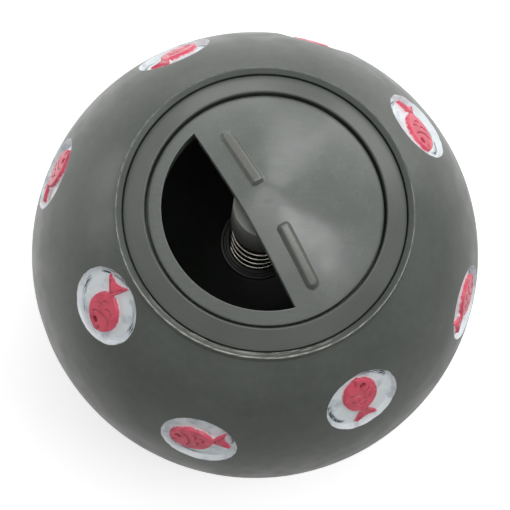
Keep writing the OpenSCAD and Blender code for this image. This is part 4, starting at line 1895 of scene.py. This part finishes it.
@dataclass
class Studio:
    """The camera at the photograph's angle, a pale floor and soft lamps.

    Attributes:
        middle_z: Height of the ball's middle above the floor.
        around: Camera's angle around the axis, in degrees.
        off_axis: Camera's angle from the lid's axis, in degrees.
        roll: Camera's turn about its own view, in degrees.
        distance: Camera's distance from the ball's middle.
        lens: Focal length on a 36 mm sensor.
        world: Level of the light from all around.
        floor_glow: Level at which the floor glows where it shows.
        dim_share: Share of that glow that mirrors in the side of the ball nearest to the lower right.
        dim_reach: Distance over which it rises to all of it, in metres to each side of the middle.
        floor_reach: How far the floor reaches to each side, in metres.
        lamps: The lamps.
    """

    middle_z: float
    around: float = 317.0
    off_axis: float = 13.19
    roll: float = -13.6
    distance: float = 300.0
    lens: float = 125.0
    world: float = 0.22
    floor_glow: float = 0.6
    dim_share: float = 0.15
    dim_reach: float = 0.06
    floor_reach: float = 4.0
    lamps: tuple[Softbox, ...] = (
        Softbox("front_box", (0.1, 0.3, 1.0), 0.36, 0.7),
        Softbox("top_box", (0.3, 0.85, 0.43), 0.12, 0.34),
        Softbox("right_box", (0.55, 0.05, 0.84), 0.16, 0.3),
        Softbox("back_box", (-0.2, 1.0, -0.08), 0.22, 0.5),
        Softbox("left_box", (-1.0, 0.4, 0.0), 0.25, 0.5),
        Softbox("far_right_box", (0.85, 0.8, -0.05), 0.28, 0.5),
    )

    def axes(self) -> Matrix:
        """Returns the camera's directions: right, up and back are the columns."""
        polar, around, roll = (math.radians(turn) for turn in (self.off_axis, self.around, self.roll))
        aside = math.sin(polar)
        back = Vector((aside * math.cos(around), aside * math.sin(around), math.cos(polar)))
        up = (Vector((0, 0, 1)) - back * back.z).normalized()
        right = up.cross(back)
        turned_right = right * math.cos(roll) - up * math.sin(roll)
        turned_up = right * math.sin(roll) + up * math.cos(roll)
        return Matrix((turned_right, turned_up, back)).transposed()

    def aim(self, obj: bpy.types.Object, turn: Matrix, place: Vector) -> None:
        """Puts a camera or lamp at a place, turned so."""
        linked(obj).matrix_world = Matrix.LocRotScale(place, turn.to_quaternion(), None)

    def camera(self) -> None:
        """Makes the camera."""
        data = bpy.data.cameras.new("camera")
        data.lens, data.sensor_width, data.clip_start = self.lens, 36.0, 0.01
        obj = bpy.data.objects.new("camera", data)
        turn = self.axes()
        self.aim(obj, turn, Vector((0, 0, self.middle_z * MM)) + turn.col[2] * self.distance * MM)
        bpy.context.scene.camera = obj

    def lights(self) -> None:
        """Makes the lamps, each turned towards the ball."""
        turn = self.axes()
        middle = Vector((0, 0, self.middle_z * MM))
        for lamp in self.lamps:
            data = bpy.data.lights.new(lamp.name, "AREA")
            data.size, data.energy = lamp.size, lamp.level * (math.pi * lamp.distance) ** 2
            way = (turn @ Vector(lamp.way)).normalized()
            facing = way.to_track_quat("Z", "Y").to_matrix()
            self.aim(bpy.data.objects.new(lamp.name, data), facing, middle + way * lamp.distance)

    def shown(self, shader: Shader, mirrored_share: Number = 1.0) -> bpy.types.NodeSocket:
        """Returns 1 for the camera's rays and the share for mirrored ones: the background shows on both."""
        path = shader.add("ShaderNodeLightPath").outputs
        mirrored = shader.math("MAXIMUM", path["Is Glossy Ray"], path["Is Transmission Ray"])
        return shader.math("MAXIMUM", path["Is Camera Ray"], shader.product(mirrored, mirrored_share))

    def floor(self) -> None:
        """Makes the floor, which glows a little on shown rays so that it is white but keeps the shadow."""
        corners = np.array([(-1, -1, 0), (1, -1, 0), (1, 1, 0), (-1, 1, 0)]) * self.floor_reach / MM
        mesh = bare_mesh("floor", Skin(corners, [(0, 1, 2, 3)]))
        shader, turn = Shader("floor_paper"), self.axes()
        inputs = {0: shader.place, 1: (turn.col[1] - turn.col[0] * 0.4).normalized()}
        along = shader.add("ShaderNodeVectorMath", inputs, operation="DOT_PRODUCT").outputs["Value"]
        share = shader.fade(along, -self.dim_reach, self.dim_reach, self.dim_share, 1.0)
        mesh.materials.append(shader.finish({
            "Base Color": (0.8, 0.8, 0.8, 1), "Roughness": 0.9, "Specular IOR Level": 0.0,
            "Emission Color": (1, 1, 1, 1),
            "Emission Strength": shader.product(self.shown(shader, share), self.floor_glow),
        }))
        linked(bpy.data.objects.new("floor", mesh))

    def sky(self) -> None:
        """Makes the light from all around, white where it shows."""
        world = bpy.data.worlds.new("studio")
        world.use_nodes = True
        sky = Shader("sky", world.node_tree)
        level = sky.math("MULTIPLY_ADD", self.shown(sky), 1 - self.world, self.world)
        back = sky.add("ShaderNodeBackground", {"Color": (1, 1, 1, 1), "Strength": level})
        sky.add("ShaderNodeOutputWorld", {"Surface": back.outputs[0]})
        bpy.context.scene.world = world

    def build(self) -> None:
        """Makes the whole studio."""
        self.camera()
        self.lights()
        self.floor()
        self.sky()
        bpy.context.scene.view_settings.view_transform = "Standard"


def main() -> None:
    """Builds the ball, its lid, the dial, the spring and the studio."""
    logging.basicConfig(level=logging.INFO, format="%(name)s: %(message)s")
    ball = Ball()
    bench = Bench(ball.middle_z)
    reach = {node: Span.of(node, ball.middle_z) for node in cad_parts}
    ball.build(bench, PaintedPlastic("ball_plastic_moulded", (80, 85, 80), roughness=0.34, gloss_level=0.4))
    dome = Dome(reach["dial"])
    lid = Lid(dome, reach["collar_ring"], reach["shutter_plate"], ball.inner_r)
    # The half plate is paler than the collar: painted light on the hub's end, which sits in shade under the
    # dial.
    plate_lit_finish = MouldedPlastic("plate_plastic_moulded", (132, 134, 128), roughness=0.5)
    lid.build(bench, RingPlastic("lid_plastic_moulded", (87, 91, 87), roughness=0.34), plate_lit_finish)
    screw = PanScrew(reach["retaining_screw"])
    dial = Dial(dome, reach["spindle"], screw, lid.fixed.low, lid.hub_top_h)
    dial_finish = RubbedLitPlastic(
        "dial_plastic_moulded", (98, 103, 99), roughness=0.25, gloss_level=0.7, flow_size=0.5, flow_stretch=7
    )
    shaft_finish = MouldedPlastic("shaft_plastic_moulded", (90, 92, 88), roughness=0.4)
    dial.build(bench, dial_finish, shaft_finish, DrawnSteel("zinc_steel", (206, 205, 200), 0.28))
    spring = SpringSet(reach["spring"], reach["spring_washer"], dial.lift)
    # The washer is dark: painted shade, as it lies deep inside the ball.
    seat_shaded_finish = MouldedPlastic("seat_plastic_moulded", (44, 44, 41), roughness=0.5)
    spring.build(bench, DrawnSteel("spring_wire", (168, 164, 155), 0.24), seat_shaded_finish)
    Studio(ball.middle_z).build()


if __name__ == "__main__":
    main()
